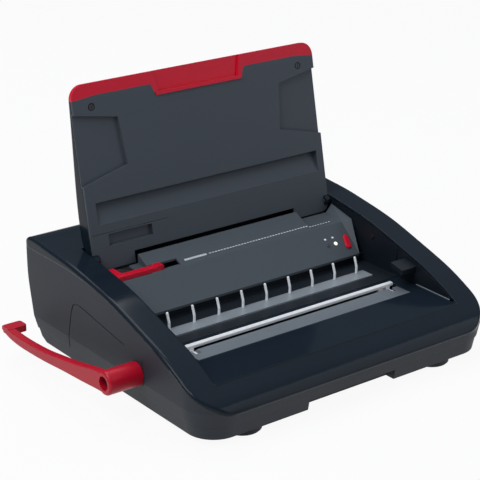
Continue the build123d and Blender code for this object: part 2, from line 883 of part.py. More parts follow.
def make_lamp(x):
    """One round lamp lens, from the hood's front to the lamp board."""
    length = board_depth + lamp_proud
    lens = Cylinder(lamp_radius, length)
    lens = fillet(lens.edges().group_by(Axis.Z)[-1], 0.6)
    return on_face(x, lamp_along) * Pos(0, 0, lamp_proud - length / 2) * lens


def make_lamp_board():
    """Board behind the hood's front that carries the lamps and the switch."""
    centre = (board_left + board_right) / 2
    plate = Box(board_right - board_left, 2 * board_half, board_thickness)
    return on_face(centre, lamp_along) * Pos(0, 0, -board_depth - board_thickness / 2) * plate


def make_chassis_plate(side):
    """Steel side plate that carries the shafts, the punch and the closer."""
    points = [(plate_front, base_bottom + case_wall), (plate_rear, base_bottom + case_wall),
              (plate_rear, plate_top), (hood_crease_y + plate_slope_run, plate_top),
              (hood_crease_y + plate_shoulder, hood_crease_z - 10),
              (hood_crease_y - plate_shoulder, hood_crease_z - 18),
              (hood_crease_y - plate_shoulder, platform_level + 4),
              (platform_y + plate_step, platform_level + 2),
              (platform_y + plate_step, platform_level - deck_plate - 1),
              (platform_y + deck_plate + 2, platform_level - deck_plate - 1),
              (platform_y + deck_plate + 2, deck_level - 4),
              (plate_front, closer_plate_level - 8)]
    plate = prism_x(points, plate_inner, plate_outer)
    plate = plate - rod_x(0, 200, cam_y, cam_z, cam_bush_radius())
    plate = plate - rod_x(0, 200, handle_y, handle_z, handle_bush_radius())
    plate = plate - box(0, 200, bar_front - 1, bar_front + bar_depth + punch_stroke + 1,
                        punch_level - tongue_height / 2 - fit_gap,
                        punch_level + tongue_height / 2 + fit_gap)
    plate = plate - box(0, 200, throat_front, throat_rear, die_bottom, 200)
    if side < 0:
        plate = plate - box(0, 200, plate_window_front, plate_window_rear, plate_window_low,
                            plate_window_high)
        return mirror(plate, Plane.YZ)
    plate = plate - rod_x(0, 200, idler_y(), idler_z(), stud_radius + running_gap)
    plate = plate - rod_x(0, 200, motor_y(), motor_z(), gear_module * motor_teeth / 2 + 2)
    return plate


def cam_bush_radius():
    """Outside radius of a camshaft bush."""
    return shaft_radius + bush_wall


def handle_bush_radius():
    """Outside radius of a handle shaft bush."""
    return handle_shaft_radius + bush_wall


def flanged_bush(x0, x1, flange_side, y, z, bore, outside):
    """A plain bush along X with a lip on one side."""
    body = rod_x(x0, x1, y, z, outside)
    if flange_side > 0:
        lip = rod_x(x1, x1 + bush_flange, y, z, outside + bush_lip)
    else:
        lip = rod_x(x0 - bush_flange, x0, y, z, outside + bush_lip)
    return body + lip - rod_x(x0 - 5, x1 + 5, y, z, bore + running_gap)


def make_cam_bushes():
    """Camshaft bushes in the two side plates."""
    right = flanged_bush(plate_inner, plate_outer, -1, cam_y, cam_z, shaft_radius,
                         cam_bush_radius() - running_gap)
    return both_sides(right)


def make_handle_bushes():
    """Handle shaft bushes: two in the side plates, one in the case wall."""
    right = flanged_bush(plate_inner, plate_outer, 1, handle_y, handle_z, handle_shaft_radius,
                         handle_bush_radius() - running_gap)
    wall = flanged_bush(-case_half, -case_half + case_wall, 1, handle_y, handle_z,
                        handle_shaft_radius, handle_bush_radius() - running_gap)
    return both_sides(right) + [wall]


def make_die_plate():
    """Rear plate of the throat with the row of die holes."""
    y0 = throat_rear
    y1 = throat_rear + die_thickness
    plate = box(-plate_inner, plate_inner, y0, y1, die_bottom, die_side_top)
    plate = plate + box(-die_cut_half, die_cut_half, y0, y1, die_side_top - 1, die_top)
    return drill_row(plate, y0 - 1, y1 + 1)


def make_stripper_plate():
    """Front plate of the throat that guides the punch pins."""
    y0 = throat_front - die_thickness
    plate = box(-plate_inner, plate_inner, y0, throat_front, die_bottom, hood_side_z - 3.5)
    plate = plate + box(-die_cut_half, die_cut_half, y0, throat_front, 100, stripper_top)
    for side in (-1, 1):
        plate = plate - rod_y(side * spring_x, y0 - 1, y0 + 1, spring_level, spring_radius + 1)
    return drill_row(plate, y0 - 1, throat_front + 1)


def punch_places():
    """X of each punch pin."""
    return [i * wire_pitch - punch_pitch_half for i in range(punch_count)]


def drill_row(plate, y0, y1):
    """Drill the punch holes through a plate."""
    drills = [rod_y(x, y0, y1, punch_level, punch_radius + running_gap) for x in punch_places()]
    return plate - drills


def make_throat_floor():
    """Spacer bar that closes the bottom of the throat."""
    return box(-plate_inner, plate_inner, throat_front, throat_rear, die_bottom, die_bottom + 3)


def make_punch_bar():
    """Moving bar that carries the punch pins, with a tongue at each end."""
    y1 = bar_front + bar_depth
    bar = box(-plate_inner + fit_gap, plate_inner - fit_gap, bar_front, y1, bar_bottom, bar_top)
    low = punch_level - tongue_height / 2
    bar = bar + box(-plate_outer, plate_outer, bar_front, y1, low, low + tongue_height)
    for side in (-1, 1):
        bar = bar - rod_y(side * spring_x, y1 - spring_pocket, y1 + 1, spring_level,
                          spring_radius + 1)
        bar = bar - box(side * spring_x - relief_half, side * spring_x + relief_half,
                        bar_front - 1, bar_front + relief_depth, punch_level - relief_height / 2,
                        punch_level + relief_height / 2)
    return bar


def make_punch_pins():
    """Row of hardened punch pins, seated against the bar."""
    start = bar_front + bar_depth
    tip = throat_front - punch_tip_clearance
    return [rod_y(x, start, tip, punch_level, punch_radius) for x in punch_places()]


def make_return_springs():
    """Coils that push the punch bar back."""
    start = bar_front + bar_depth - spring_pocket + 0.2
    stop = throat_front - die_thickness - 0.2 + 1
    spring = coil(spring_radius, stop - start, spring_turns, spring_wire)
    return [Pos(side * spring_x, start, spring_level) * Rot(-90, 0, 0) * spring
            for side in (-1, 1)]


def cam_outline():
    """Spiral outline: the radius grows evenly over the working turn."""
    steps = 17
    points = []
    for i in range(steps + 1):
        share = i / steps
        angle = math.radians(-share * cam_turn)
        radius = cam_base + share * punch_stroke
        points.append((radius * math.cos(angle), radius * math.sin(angle)))
    return points


def make_cams():
    """Two spiral cams that push the bar to the rear."""
    outline = cam_outline()
    curve = Spline(*outline)
    end = math.radians(-cam_turn)
    drop = (cam_base * math.cos(end), cam_base * math.sin(end))
    middle = math.radians(-cam_turn / 2 + 180)
    low = (cam_base * math.cos(middle), cam_base * math.sin(middle))
    back = ThreePointArc(drop, low, outline[0])
    face = make_face(curve + Line(outline[-1], drop) + back)
    cams = []
    for side in (-1, 1):
        x0 = side * cam_x - cam_width / 2
        cam = extrude(Plane.YZ.offset(x0) * (Pos(cam_y, cam_z) * face), cam_width)
        cams.append(cam - rod_x(-200, 200, cam_y, cam_z, shaft_radius + running_gap))
    return cams


def involute(angle):
    """Involute function of a pressure angle."""
    return math.tan(angle) - angle


def gear_face_outline(teeth, phase):
    """Spur gear outline with involute flanks, its first tooth at an angle in degrees."""
    pitch = gear_module * teeth / 2
    base = pitch * math.cos(math.radians(pressure_angle))
    root = pitch - gear_dedendum * gear_module
    tip = pitch + gear_addendum * gear_module
    half_pitch = math.pi / (2 * teeth) - gear_backlash / (2 * pitch)
    start = max(base, root)
    radii = [root, start + 0.02, (start + pitch) / 2, pitch, (pitch + tip) / 2, tip]
    half_angles = []
    for radius in radii:
        inside = math.acos(min(1.0, base / max(radius, base)))
        half_angles.append(half_pitch + involute(math.radians(pressure_angle)) - involute(inside))
    points = []
    for tooth in range(teeth):
        middle = math.radians(phase) + 2 * math.pi * tooth / teeth
        for radius, half in zip(radii, half_angles):
            points.append((radius * math.cos(middle - half), radius * math.sin(middle - half)))
        for radius, half in zip(reversed(radii), reversed(half_angles)):
            points.append((radius * math.cos(middle + half), radius * math.sin(middle + half)))
    return make_face(Polyline(*points, close=True))


def gear(teeth, phase, x0, x1, y, z):
    """A spur gear along X."""
    face = gear_face_outline(teeth, phase)
    return extrude(Plane.YZ.offset(x0) * (Pos(y, z) * face), x1 - x0)


def idler_y():
    """Y of the idler's stud."""
    return cam_y


def idler_z():
    """Height of the idler's stud, below the camshaft."""
    return cam_z - gear_module * (cam_teeth + idler_small_teeth) / 2


def motor_y():
    """Y of the motor's axis."""
    return idler_y() + motor_offset_y


def motor_z():
    """Height of the motor's axis, set by the gears' centre distance."""
    reach = gear_module * (idler_large_teeth + motor_teeth) / 2
    return idler_z() - math.sqrt(reach ** 2 - motor_offset_y ** 2)


def make_cam_gear():
    """Gear on the camshaft; a gap between teeth faces the idler."""
    x0 = gear_start + gear_face + gear_side_gap
    wheel = gear(cam_teeth, -90 + 180 / cam_teeth, x0, x0 + gear_face, cam_y, cam_z)
    return wheel - rod_x(100, 200, cam_y, cam_z, shaft_radius + running_gap)


def make_idler():
    """Two-step idler gear between the motor and the camshaft."""
    x1 = gear_start + gear_face
    towards_motor = math.degrees(math.atan2(motor_z() - idler_z(), motor_y() - idler_y()))
    large = gear(idler_large_teeth, towards_motor, gear_start, x1, idler_y(), idler_z())
    small = gear(idler_small_teeth, 90, x1 - 0.5, x1 + gear_side_gap + gear_face, idler_y(),
                 idler_z())
    return large + small - rod_x(100, 200, idler_y(), idler_z(), stud_radius + running_gap)


def make_idler_stud():
    """Fixed stud that the idler turns on."""
    end = gear_start + 2 * gear_face + gear_side_gap + 1
    clip = rod_x(end - 0.7, end, idler_y(), idler_z(), stud_radius + stud_clip)
    return clip + rod_x(plate_inner, end, idler_y(), idler_z(), stud_radius)


def make_motor():
    """Drive motor, bolted to the right side plate."""
    x0 = plate_inner - motor_length
    can = rod_x(x0, plate_inner, motor_y(), motor_z(), motor_radius)
    can = fillet(can.edges().group_by(Axis.X)[0], 3)
    tail = rod_x(x0 - motor_tail, x0 + 1, motor_y(), motor_z(), 6)
    bore = rod_x(plate_inner - motor_shaft_depth, 200, motor_y(), motor_z(),
                 motor_shaft_radius + running_gap)
    return can + tail - bore


def make_motor_pinion():
    """Motor shaft with its pinion; a gap between teeth faces the idler."""
    towards_idler = math.degrees(math.atan2(idler_z() - motor_z(), idler_y() - motor_y()))
    wheel = gear(motor_teeth, towards_idler + 180 / motor_teeth, gear_start,
                 gear_start + gear_face, motor_y(), motor_z())
    return wheel + rod_x(plate_inner - motor_shaft_depth + 1, gear_start + gear_face, motor_y(),
                         motor_z(), motor_shaft_radius)


def make_camshaft():
    """Shaft through the two side plates, under the cams and the cam gear."""
    end = gear_start + 2 * gear_face + gear_side_gap + 1
    return rod_x(-plate_outer - 2, end, cam_y, cam_z, shaft_radius)


def make_handle_shaft():
    """Cross shaft from the handle's hub to the right side plate."""
    start = -hub_outer + dimple_depth + shaft_end_gap
    return rod_x(start, plate_outer + 2, handle_y, handle_z, handle_shaft_radius)


def make_pinions():
    """Pinions on the handle shaft, one under each rack."""
    width = pinion_width
    right = gear(pinion_teeth, 90, pinion_x, pinion_x + width, handle_y, handle_z)
    left = gear(pinion_teeth, 90, -pinion_x - width, -pinion_x, handle_y, handle_z)
    bore = rod_x(-200, 200, handle_y, handle_z, handle_shaft_radius + running_gap)
    return [right - bore, left - bore]


def rack_outline():
    """Side outline of a rack, teeth down, a gap over the pinion's top tooth."""
    line = handle_z + gear_module * pinion_teeth / 2
    pitch = math.pi * gear_module
    low = line - gear_addendum * gear_module
    root = line + gear_dedendum * gear_module
    slope = math.tan(math.radians(pressure_angle))
    half = pitch / 4 - gear_backlash / 2
    tip_half = half - gear_addendum * gear_module * slope
    root_half = half + gear_dedendum * gear_module * slope
    top = root + rack_thickness
    first = handle_y - 1.5 * pitch
    count = int((rack_rear - first) / pitch)
    heel = first - pitch / 2 - fit_gap
    points = [(rack_front, top), (rack_front, low), (heel, low), (heel, root)]
    for i in range(count):
        middle = first + i * pitch
        points.append((middle - root_half, root))
        points.append((middle - tip_half, low))
        points.append((middle + tip_half, low))
        points.append((middle + root_half, root))
    points.append((rack_rear, root))
    points.append((rack_rear, top))
    return points, top


def make_closer_bar():
    """Bright closing bar, carried by a toothed rack at each end."""
    points, top = rack_outline()
    y1 = closer_bar_y + closer_bar_depth
    bar = box(-slot_half + 3, slot_half - 3, closer_bar_y, y1, closer_bar_bottom,
              closer_bar_bottom + closer_bar_height)
    bar = chamfer(bar.edges().filter_by(Axis.X).group_by(Axis.Z)[-1], 0.6)
    rack = prism_x(points, pinion_x, pinion_x + pinion_width)
    web = box(pinion_x, pinion_x + pinion_width, closer_bar_y, y1, top - 1, closer_bar_bottom + 1)
    arm = rack + web
    return bar + arm + mirror(arm, Plane.YZ)


def make_closer_plate():
    """Fixed grey plate in the closer slot, notched for the racks' webs."""
    plate = box(-slot_half + fit_gap, slot_half - fit_gap, slot_front + fit_gap,
                slot_front + closer_plate_depth, closer_plate_level,
                closer_plate_level + closer_plate_thickness)
    reach = closer_bar_y - closer_travel() - 0.8
    notch = box(pinion_x - 0.6, pinion_x + pinion_width + 0.6, reach, slot_rear, 50, 70)
    return plate - notch - mirror(notch, Plane.YZ)


def closer_travel():
    """How far the closing bar moves over the handle's hundred degrees."""
    return gear_module * pinion_teeth / 2 * math.radians(handle_swing)


def make_rack_guides():
    """Channels on the side plates that the racks slide in."""
    line = handle_z + gear_module * pinion_teeth / 2
    low = line - gear_addendum * gear_module - fit_gap
    front = rack_front - closer_travel() - 1
    rear = handle_y - gear_module * pinion_teeth / 2 - 2.5
    base = box(pinion_x - 2, plate_inner, front, rear, low - 3, low)
    inner = box(pinion_x - 2, pinion_x - fit_gap, front, rear, low - 1, low + 3)
    outer = box(pinion_x + pinion_width + fit_gap, plate_inner, front, rear, low - 1, low + 3)
    guide = base + inner + outer
    foot = box(pinion_x + pinion_width + fit_gap, plate_inner, plate_front, rear, low - 8, low - 2)
    guide = guide + foot
    return both_sides(guide)


def handle_line():
    """Middle line of the handle's arm in (y, z), from the hub to the tip."""
    return [(handle_y, handle_z), (140, 46.6), (158, 44), (183, 40.5), (209, 37.5), (240, 33.8),
            (272, 31.7), (300, 31.2), (322, 32.8), (336, 35.2)]


def make_handle():
    """Red closing handle: hub, curved arm and the grip at its end."""
    heights = [11.5, 11.0, 10.0, 8.3, 7.2, 6.3, 5.9, 5.8, 5.0, 2.8]
    line = handle_line()
    upper = [(p[0], p[1] + h) for p, h in zip(line, heights)]
    lower = [(p[0], p[1] - h) for p, h in zip(line, heights)]
    top = Spline(*upper)
    bottom = Spline(*reversed(lower))
    tip = Line(upper[-1], lower[-1])
    root = Line(lower[0], upper[0])
    face = make_face(top + tip + bottom + root)
    arm = extrude(Plane.YZ.offset(-hub_outer) * face, arm_thickness)
    long_edges = [edge for edge in arm.edges() if edge.length > 100]
    arm = fillet(long_edges, arm_round)
    end_y = line[-1][0]
    end_z = line[-1][1]
    grip = box(-hub_outer, -hub_outer + grip_width, end_y - grip_length, end_y,
               end_z - 4.5, end_z + 3.0)
    grip = fillet(grip.edges().filter_by(Axis.Z), 3.4)
    hub = rod_x(-hub_outer, -case_half - hub_clearance, handle_y, handle_z, hub_radius)
    hub = fillet(hub.edges().group_by(Axis.X)[0], 3.0)
    handle = arm + grip + hub
    handle = handle - rod_x(-hub_outer - 1, -hub_outer + dimple_depth, handle_y, handle_z,
                            dimple_radius)
    return handle - rod_x(-hub_outer, -case_half, handle_y, handle_z,
                          handle_shaft_radius + running_gap)


def make_hub_screw():
    """Screw and washer that hold the hub on its shaft."""
    seat = -hub_outer + dimple_depth
    washer = rod_x(seat - 1.2, seat, handle_y, handle_z, handle_shaft_radius + 2)
    head = rod_x(seat - 4.2, seat - 1.0, handle_y, handle_z, handle_shaft_radius)
    stem = rod_x(seat - 1, seat + shaft_end_gap, handle_y, handle_z, handle_shaft_radius - 2)
    cross = box(seat - 5, seat - 3, handle_y - 3, handle_y + 3, handle_z - 0.6, handle_z + 0.6)
    return washer + head + stem - cross


def lid_form(margin):
    """The lid's solid form in its own frame, less a margin at the back and sides."""
    back = list(lid_back) + [(lid_top + 2, lid_top_thickness)]
    front_line = [(0, lid_top + 2), (0, -10)]
    curve = [(t - margin, s) for s, t in back]
    corners = front_line + [(curve[0][0] - 2, -10)]
    body = curved_prism_x(curve, corners, -lid_half + margin, lid_half - margin)
    half = lid_half - margin
    top = lid_top - margin
    low = tab_bottom + margin
    outline = Polyline((-half, low), (-tab_inner - margin, low),
                       (-tab_inner - margin, lid_bottom + margin),
                       (tab_inner + margin, lid_bottom + margin), (tab_inner + margin, low),
                       (half, low), (half, top), (-half, top), close=True)
    face = make_face(outline)
    upper = [v for v in face.vertices() if v.Y > top - 1]
    face = fillet(upper, lid_corner - margin)
    lower = [v for v in face.vertices() if v.Y < low + 1 and abs(v.X) > half - 1]
    face = fillet(lower, lid_tab_corner - margin)
    plan = extrude(Plane.XZ.offset(-60) * face, 90)
    return body & plan


def lid_pockets(depth, grow):
    """The two side pockets, open to the lid's sides, grown by a wall's thickness."""
    outline = [(lid_half + 5, pocket_top + grow),
               (lid_half - pocket_width - grow, pocket_top - 11 + grow),
               (lid_half - pocket_width - 5 - grow, pocket_bottom + 16 - grow),
               (lid_half + 5, pocket_bottom - grow)]
    face = make_face(Polyline(*outline, close=True))
    cutter = extrude(Plane.XZ.offset(-depth) * face, depth + 5)
    return cutter + mirror(cutter, Plane.YZ)


def long_recess(extra):
    """Wedge-shaped recess across the liner, deepest at its top."""
    return prism_x([(-1, recess_bottom - extra), (recess_edge + extra, recess_bottom - extra),
                    (recess_depth + extra, recess_top + extra), (-1, recess_top + extra)],
                   -lid_half + recess_left - extra, lid_half - recess_right + extra)


def small_recess(extra):
    """Recess that clears the edge guide when the lid is shut."""
    left = -lid_half + guide_recess_left
    return box(left - extra, left + guide_recess_length + extra, -1, guide_recess_depth + extra,
               guide_recess_bottom - extra, guide_recess_bottom + guide_recess_height + extra)


def trim_region():
    """Space taken by the red trim along the lid's free edge."""
    low = lid_top - trim_height
    drop = low - grip_drop
    points = [(-lid_half - 5, low - 3.5), (-lid_half + 30, low), (-grip_half_top, low),
              (-grip_half_bottom, drop), (grip_half_bottom, drop), (grip_half_top, low),
              (lid_half - 30, low), (lid_half + 5, low - 3.5), (lid_half + 5, lid_top + 10),
              (-lid_half - 5, lid_top + 10)]
    face = make_face(Polyline(*points, close=True))
    return extrude(Plane.XZ.offset(-60) * face, 90)


lid_solid = lid_form(0)
lid_inside = lid_form(lid_skin)


def lid_screw_places():
    """The two screw places near the lid's free edge."""
    return [(-lid_screw_x, lid_screw_s), (lid_screw_x, lid_screw_s)]


def make_lid_shell():
    """Outer skin of the lid with its hinge ears and screw posts."""
    front = box(-300, 300, -50, liner_thickness, -50, 300)
    shell = lid_solid - lid_inside - front - trim_region()
    shell = shell - lid_pockets(pocket_depth + tub_wall, tub_wall)
    for x, s in lid_screw_places():
        post = rod_y(x, liner_thickness, 20, s, 3.2) & lid_solid
        shell = shell + post
        shell = shell - rod_y(x, -5, liner_thickness + screw_length - 1.6, s,
                              screw_shank + running_gap)
    ear = rod_x(lid_half - ear_width, lid_half, hinge_t, hinge_s, ear_radius)
    web = box(lid_half - ear_width, lid_half, hinge_t, liner_thickness + 3, hinge_s - 2,
              hinge_s + ear_radius)
    ears = ear + web
    ears = ears + mirror(ears, Plane.YZ)
    shell = shell + ears
    return shell - rod_x(-200, 200, hinge_t, hinge_s, hinge_pin_radius + running_gap)


def make_lid_liner():
    """Inner face of the lid with its pockets and recesses."""
    slab = lid_solid & box(-300, 300, -5, liner_thickness, -50, 300)
    tubs = lid_pockets(pocket_depth + tub_wall, tub_wall) & lid_solid
    tubs = tubs + (long_recess(tub_wall) & box(-300, 300, 0, 30, 0, 200))
    tubs = tubs + (small_recess(tub_wall) & box(-300, 300, 0, 30, 0, 200))
    liner = slab + tubs
    liner = liner - lid_pockets(pocket_depth, 0) - long_recess(0) - small_recess(0)
    liner = liner - trim_region()
    liner = liner - box(-lid_half + 2, -lid_half + 104, -1, recess_edge, groove_s, groove_s + 1.2)
    for x, s in lid_screw_places():
        liner = liner - rod_y(x, -5, 1.8, s, screw_head_radius + 1.2)
        liner = liner - rod_y(x, -5, 10, s, screw_shank + running_gap)
    clear = rod_x(lid_half - ear_width - fit_gap, lid_half + 1, hinge_t, hinge_s,
                  ear_radius + fit_gap)
    clear = clear + box(lid_half - ear_width - fit_gap, lid_half + 1, -5, 10, hinge_s - 2 - fit_gap,
                        hinge_s + ear_radius + fit_gap)
    return liner - clear - mirror(clear, Plane.YZ)


def make_lid_trim():
    """Red trim and finger grip along the lid's free edge."""
    trim = lid_solid & trim_region()
    low = lid_top - trim_height - grip_drop
    rim = scoop_rim
    points = [(-grip_half_bottom + rim, low + rim), (grip_half_bottom - rim, low + rim),
              (grip_half_top - rim, lid_top + 5), (-grip_half_top + rim, lid_top + 5)]
    face = make_face(Polyline(*points, close=True))
    scoop = extrude(Plane.XZ.offset(-scoop_depth) * face, scoop_depth + 5)
    lip_points = [(-grip_half_bottom, low), (grip_half_bottom, low),
                  (grip_half_bottom + 1.5, low + rim), (-grip_half_bottom - 1.5, low + rim)]
    lip_face = make_face(Polyline(*lip_points, close=True))
    lip = extrude(Plane.XZ * lip_face, lip_reach)
    lip = lip + extrude(Plane.XZ.offset(-1) * lip_face, 1)
    return trim - scoop + lip


def make_lid_screws():
    """Screws that hold the liner to the shell."""
    screws = []
    for x, s in lid_screw_places():
        head = rod_y(x, 1.8 - screw_head_height, 1.8, s, screw_head_radius)
        shank = rod_y(x, 1.7, 1.7 + screw_length - 1, s, screw_shank)
        drive = box(x - 2, x + 2, -1, 1.0, s - 0.4, s + 0.4)
        drive = drive + box(x - 0.4, x + 0.4, -1, 1.0, s - 2, s + 2)
        screws.append(head + shank - drive)
    return screws


def make_hinge_pins():
    """Steel pins from the lid's ears into the well's side walls."""
    right = rod_x(lid_half - ear_width, arm_inner + hinge_pin_reach, hinge_y, hinge_z,
                  hinge_pin_radius)
    return both_sides(right)


def make_drawer():
    """Chip drawer under the punch, its panel flush with the rear wall."""
    low = drawer_bottom
    high = drawer_bottom + drawer_height
    outer = prism_x([(drawer_front, low), (rear_y(low), low), (rear_y(high), high),
                     (drawer_front, high)], -drawer_half, drawer_half)
    panel = drawer_panel
    inner = prism_x([(drawer_front + drawer_wall, low + drawer_wall),
                     (rear_y(low) - panel, low + drawer_wall), (rear_y(high) - panel, high + 5),
                     (drawer_front + drawer_wall, high + 5)],
                    -drawer_half + drawer_wall, drawer_half - drawer_wall)
    middle = low + drawer_height / 2
    pull = at_rear(0, middle) * Box(2 * drawer_pull_half, 2 * drawer_pull_depth, drawer_pull_height)
    pull = fillet(pull.edges().filter_by(Axis.X, reverse=True).filter_by(Axis.Z, reverse=True), 4)
    return outer - inner - pull


def make_runners():
    """Strips on the floor that the drawer slides on."""
    floor = base_bottom + case_wall
    right = box(runner_x, runner_x + runner_width, drawer_front + 4, rear_y(drawer_bottom) - 12,
                floor, drawer_bottom - fit_gap)
    fence = box(drawer_half + drawer_gap, drawer_half + drawer_gap + 2, drawer_front + 4,
                rear_y(drawer_bottom) - 12, floor, drawer_bottom + 8)
    link = box(runner_x, drawer_half + drawer_gap + 2, drawer_front + 4,
               rear_y(drawer_bottom) - 12, floor, floor + 1.5)
    return both_sides(right + fence + link)


def make_inlet():
    """Mains inlet in the rear wall: flange, body and three pins."""
    flange = Pos(0, flange_thickness / 2, 0) * Box(inlet_width + 2 * flange_rim, flange_thickness,
                                                  inlet_height + 2 * flange_rim)
    body = Pos(0, -inlet_depth / 2, 0) * Box(inlet_width, inlet_depth, inlet_height)
    mouth = Pos(0, flange_thickness - 9, 0) * Box(inlet_width - 5, 18.01, inlet_height - 5)
    pins = [Pos(x, -10.5, z) * Box(2, 11, 4) for x, z in ((-6, -1.5), (0, 2.5), (6, -1.5))]
    shape = flange + body - mouth
    for pin in pins:
        shape = shape + pin
    return at_rear(inlet_x, inlet_z) * shape


def make_rocker_housing():
    """Frame of the mains switch in the rear wall."""
    w = rocker_width + 4
    h = rocker_height + 4
    flange = Pos(0, flange_thickness / 2, 0) * Box(w + 4, flange_thickness, h + 4)
    body = Pos(0, -rocker_housing_depth / 2, 0) * Box(w, rocker_housing_depth, h)
    mouth = Pos(0, flange_thickness - 7, 0) * Box(rocker_width, 14.01, rocker_height)
    return at_rear(rocker_x, inlet_z) * (flange + body - mouth)


def make_rocker():
    """Rocker of the mains switch, tilted to its on side."""
    w = rocker_width - 2 * fit_gap
    reach = rocker_height / 2 - 1.2
    drum = Rot(0, 90, 0) * Cylinder(reach, w)
    away = Pos(0, rocker_rise + reach, 0) * Box(w + 2, 2 * reach, 3 * reach)
    left = Rot(rocker_tilt / 2, 0, 0) * away
    right = Rot(-rocker_tilt / 2, 0, 0) * away
    body = drum - left - right - Pos(0, -reach, 0) * Box(w + 2, reach, 3 * reach)
    place = at_rear(rocker_x, inlet_z) * Pos(0, flange_thickness - rocker_pivot_depth, 0)
    return place * Rot(rocker_tilt / 2, 0, 0) * body


def make_main_board():
    """Control board on edge in the right arm, with its large components."""
    x = main_board_x
    y0, y1 = main_board_y
    z0, z1 = main_board_z
    board = box(x, x + 1.6, y0, y1, z0, z1)
    parts = [board, box(x - 11, x, y0 + 6, y0 + 36, z0 + 6, z0 + 34),
             rod_x(x - 9, x, y0 + 50, z0 + 16, 7), rod_x(x - 9, x, y0 + 50, z0 + 34, 7),
             box(x - 8, x, y0 + 44, y0 + 60, z0 + 44, z0 + 62),
             box(x - 4, x, y0 + 8, y0 + 32, z0 + 44, z0 + 60)]
    return parts


def make_board_clips():
    """Slotted posts on the floor that hold the control board upright."""
    floor = base_bottom + case_wall
    clips = []
    for y in (main_board_y[0] + 4, main_board_y[1] - 10):
        clip = box(main_board_x - 3, main_board_x + 4.6, y, y + 6, floor, main_board_z[0] + 5)
        clip = clip - box(main_board_x - running_gap, main_board_x + 1.6 + running_gap, y - 1,
                          y + 7, main_board_z[0], main_board_z[0] + 20)
        clips.append(clip)
    return clips


def main():
    """Build and write every node."""
    save("base_tray", make_tray())
    save("top_bezel", make_bezel())
    save("work_deck", make_work_deck())
    save("punch_hood", make_hood())
    save("rubber_feet", make_feet())
    save("case_screws", make_case_screws())
    save("pin_strip", make_pin_strip())
    save("wire_pins", make_wire_pins())
    save("closer_plate", make_closer_plate())
    save("closer_bar", make_closer_bar())
    save("rack_guides", make_rack_guides())
    save("left_side_plate", make_chassis_plate(-1))
    save("right_side_plate", make_chassis_plate(1))
    save("stripper_plate", make_stripper_plate())
    save("die_plate", make_die_plate())
    save("throat_floor", make_throat_floor())
    save("punch_bar", make_punch_bar())
    save("punch_pins", make_punch_pins())
    save("return_springs", make_return_springs())
    save("camshaft", make_camshaft())
    save("lift_cams", make_cams())
    save("cam_gear", make_cam_gear())
    save("cam_bushes", make_cam_bushes())
    save("idler_gear", make_idler())
    save("idler_stud", make_idler_stud())
    save("drive_motor", make_motor())
    save("motor_pinion", make_motor_pinion())
    save("closing_handle", make_handle())
    save("hub_screw", make_hub_screw())
    save("handle_shaft", make_handle_shaft())
    save("handle_pinions", make_pinions())
    save("handle_bushes", make_handle_bushes())
    save("lid_shell", in_lid(make_lid_shell()))
    save("lid_liner", in_lid(make_lid_liner()))
    save("lid_trim", in_lid(make_lid_trim()))
    save("lid_screws", [in_lid(screw) for screw in make_lid_screws()])
    save("hinge_pins", make_hinge_pins())
    save("edge_guide", make_edge_guide())
    save("punch_button", make_button())
    save("button_spring", make_button_spring())
    save("button_switch", make_switch())
    save("power_lamp", make_lamp(lamp_xs[0]))
    save("ready_lamp", make_lamp(lamp_xs[1]))
    save("lamp_board", make_lamp_board())
    save("chip_drawer", make_drawer())
    save("drawer_runners", make_runners())
    save("mains_inlet", make_inlet())
    save("switch_housing", make_rocker_housing())
    save("power_rocker", make_rocker())
    save("control_board", make_main_board())
    save("board_clips", make_board_clips())


if __name__ == "__main__":
    main()
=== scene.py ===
"""Wire binding machine: finishes, small details, studio and camera."""
import math

import bpy
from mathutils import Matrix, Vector


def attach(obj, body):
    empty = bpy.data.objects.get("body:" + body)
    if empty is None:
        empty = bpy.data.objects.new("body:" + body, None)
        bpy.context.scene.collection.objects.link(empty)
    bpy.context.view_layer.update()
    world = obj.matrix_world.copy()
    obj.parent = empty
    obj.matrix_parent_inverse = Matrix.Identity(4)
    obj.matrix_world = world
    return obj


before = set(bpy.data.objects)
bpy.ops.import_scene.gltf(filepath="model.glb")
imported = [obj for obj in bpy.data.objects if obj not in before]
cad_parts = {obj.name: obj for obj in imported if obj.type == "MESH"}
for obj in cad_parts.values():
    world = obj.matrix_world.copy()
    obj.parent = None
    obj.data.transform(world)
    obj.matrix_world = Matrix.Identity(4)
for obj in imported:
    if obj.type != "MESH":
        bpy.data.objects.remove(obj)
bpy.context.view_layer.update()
MM = 0.001

# Case frame to row frame, in millimetres
SHIFT = Vector((21.0, -177.0, 0.0))

# Hood front: its foot, its lean and the marks above its two lamps, in millimetres
FACE_FOOT = Vector((0.0, 188.0, 75.0))
FACE_ANGLE = math.radians(42.357)
LAMP_XS = (126.6, 138.1)
LAMP_MARK_ALONG = 29.0
LAMP_MARK_SIZE = (0.003, 0.0022, 0.00008)

# Hood's upper slope, from the crease back: its raised middle and its low right end
CREASE = Vector((0.0, 222.0, 106.0))
RAISED_ANGLE = math.radians(26.25)
LOW_ANGLE = math.radians(6.79)

# Rows of marks on that slope: name, angle, first x (mm), count, pitch (mm), block (m)
MARK_ROWS = (("wide_marks", RAISED_ANGLE, -66.0, 13, 2.4, (0.0014, 0.0028, 0.00008)),
             ("fine_marks", RAISED_ANGLE, -31.0, 35, 4.2333, (0.0024, 0.0011, 0.00008)),
             ("end_marks", LOW_ANGLE, 119.0, 8, 4.2333, (0.0024, 0.0011, 0.00008)))
MARK_ALONG = 7.0
MARK_OUT = 0.02

# Grip ridges on the edge guide: places in millimetres, block in metres
RIDGE_COUNT = 5
RIDGE_START = (-106.2, 228.75, 112.75)
RIDGE_PITCH = 1.6
RIDGE_SIZE = (0.0007, 0.0078, 0.0006)

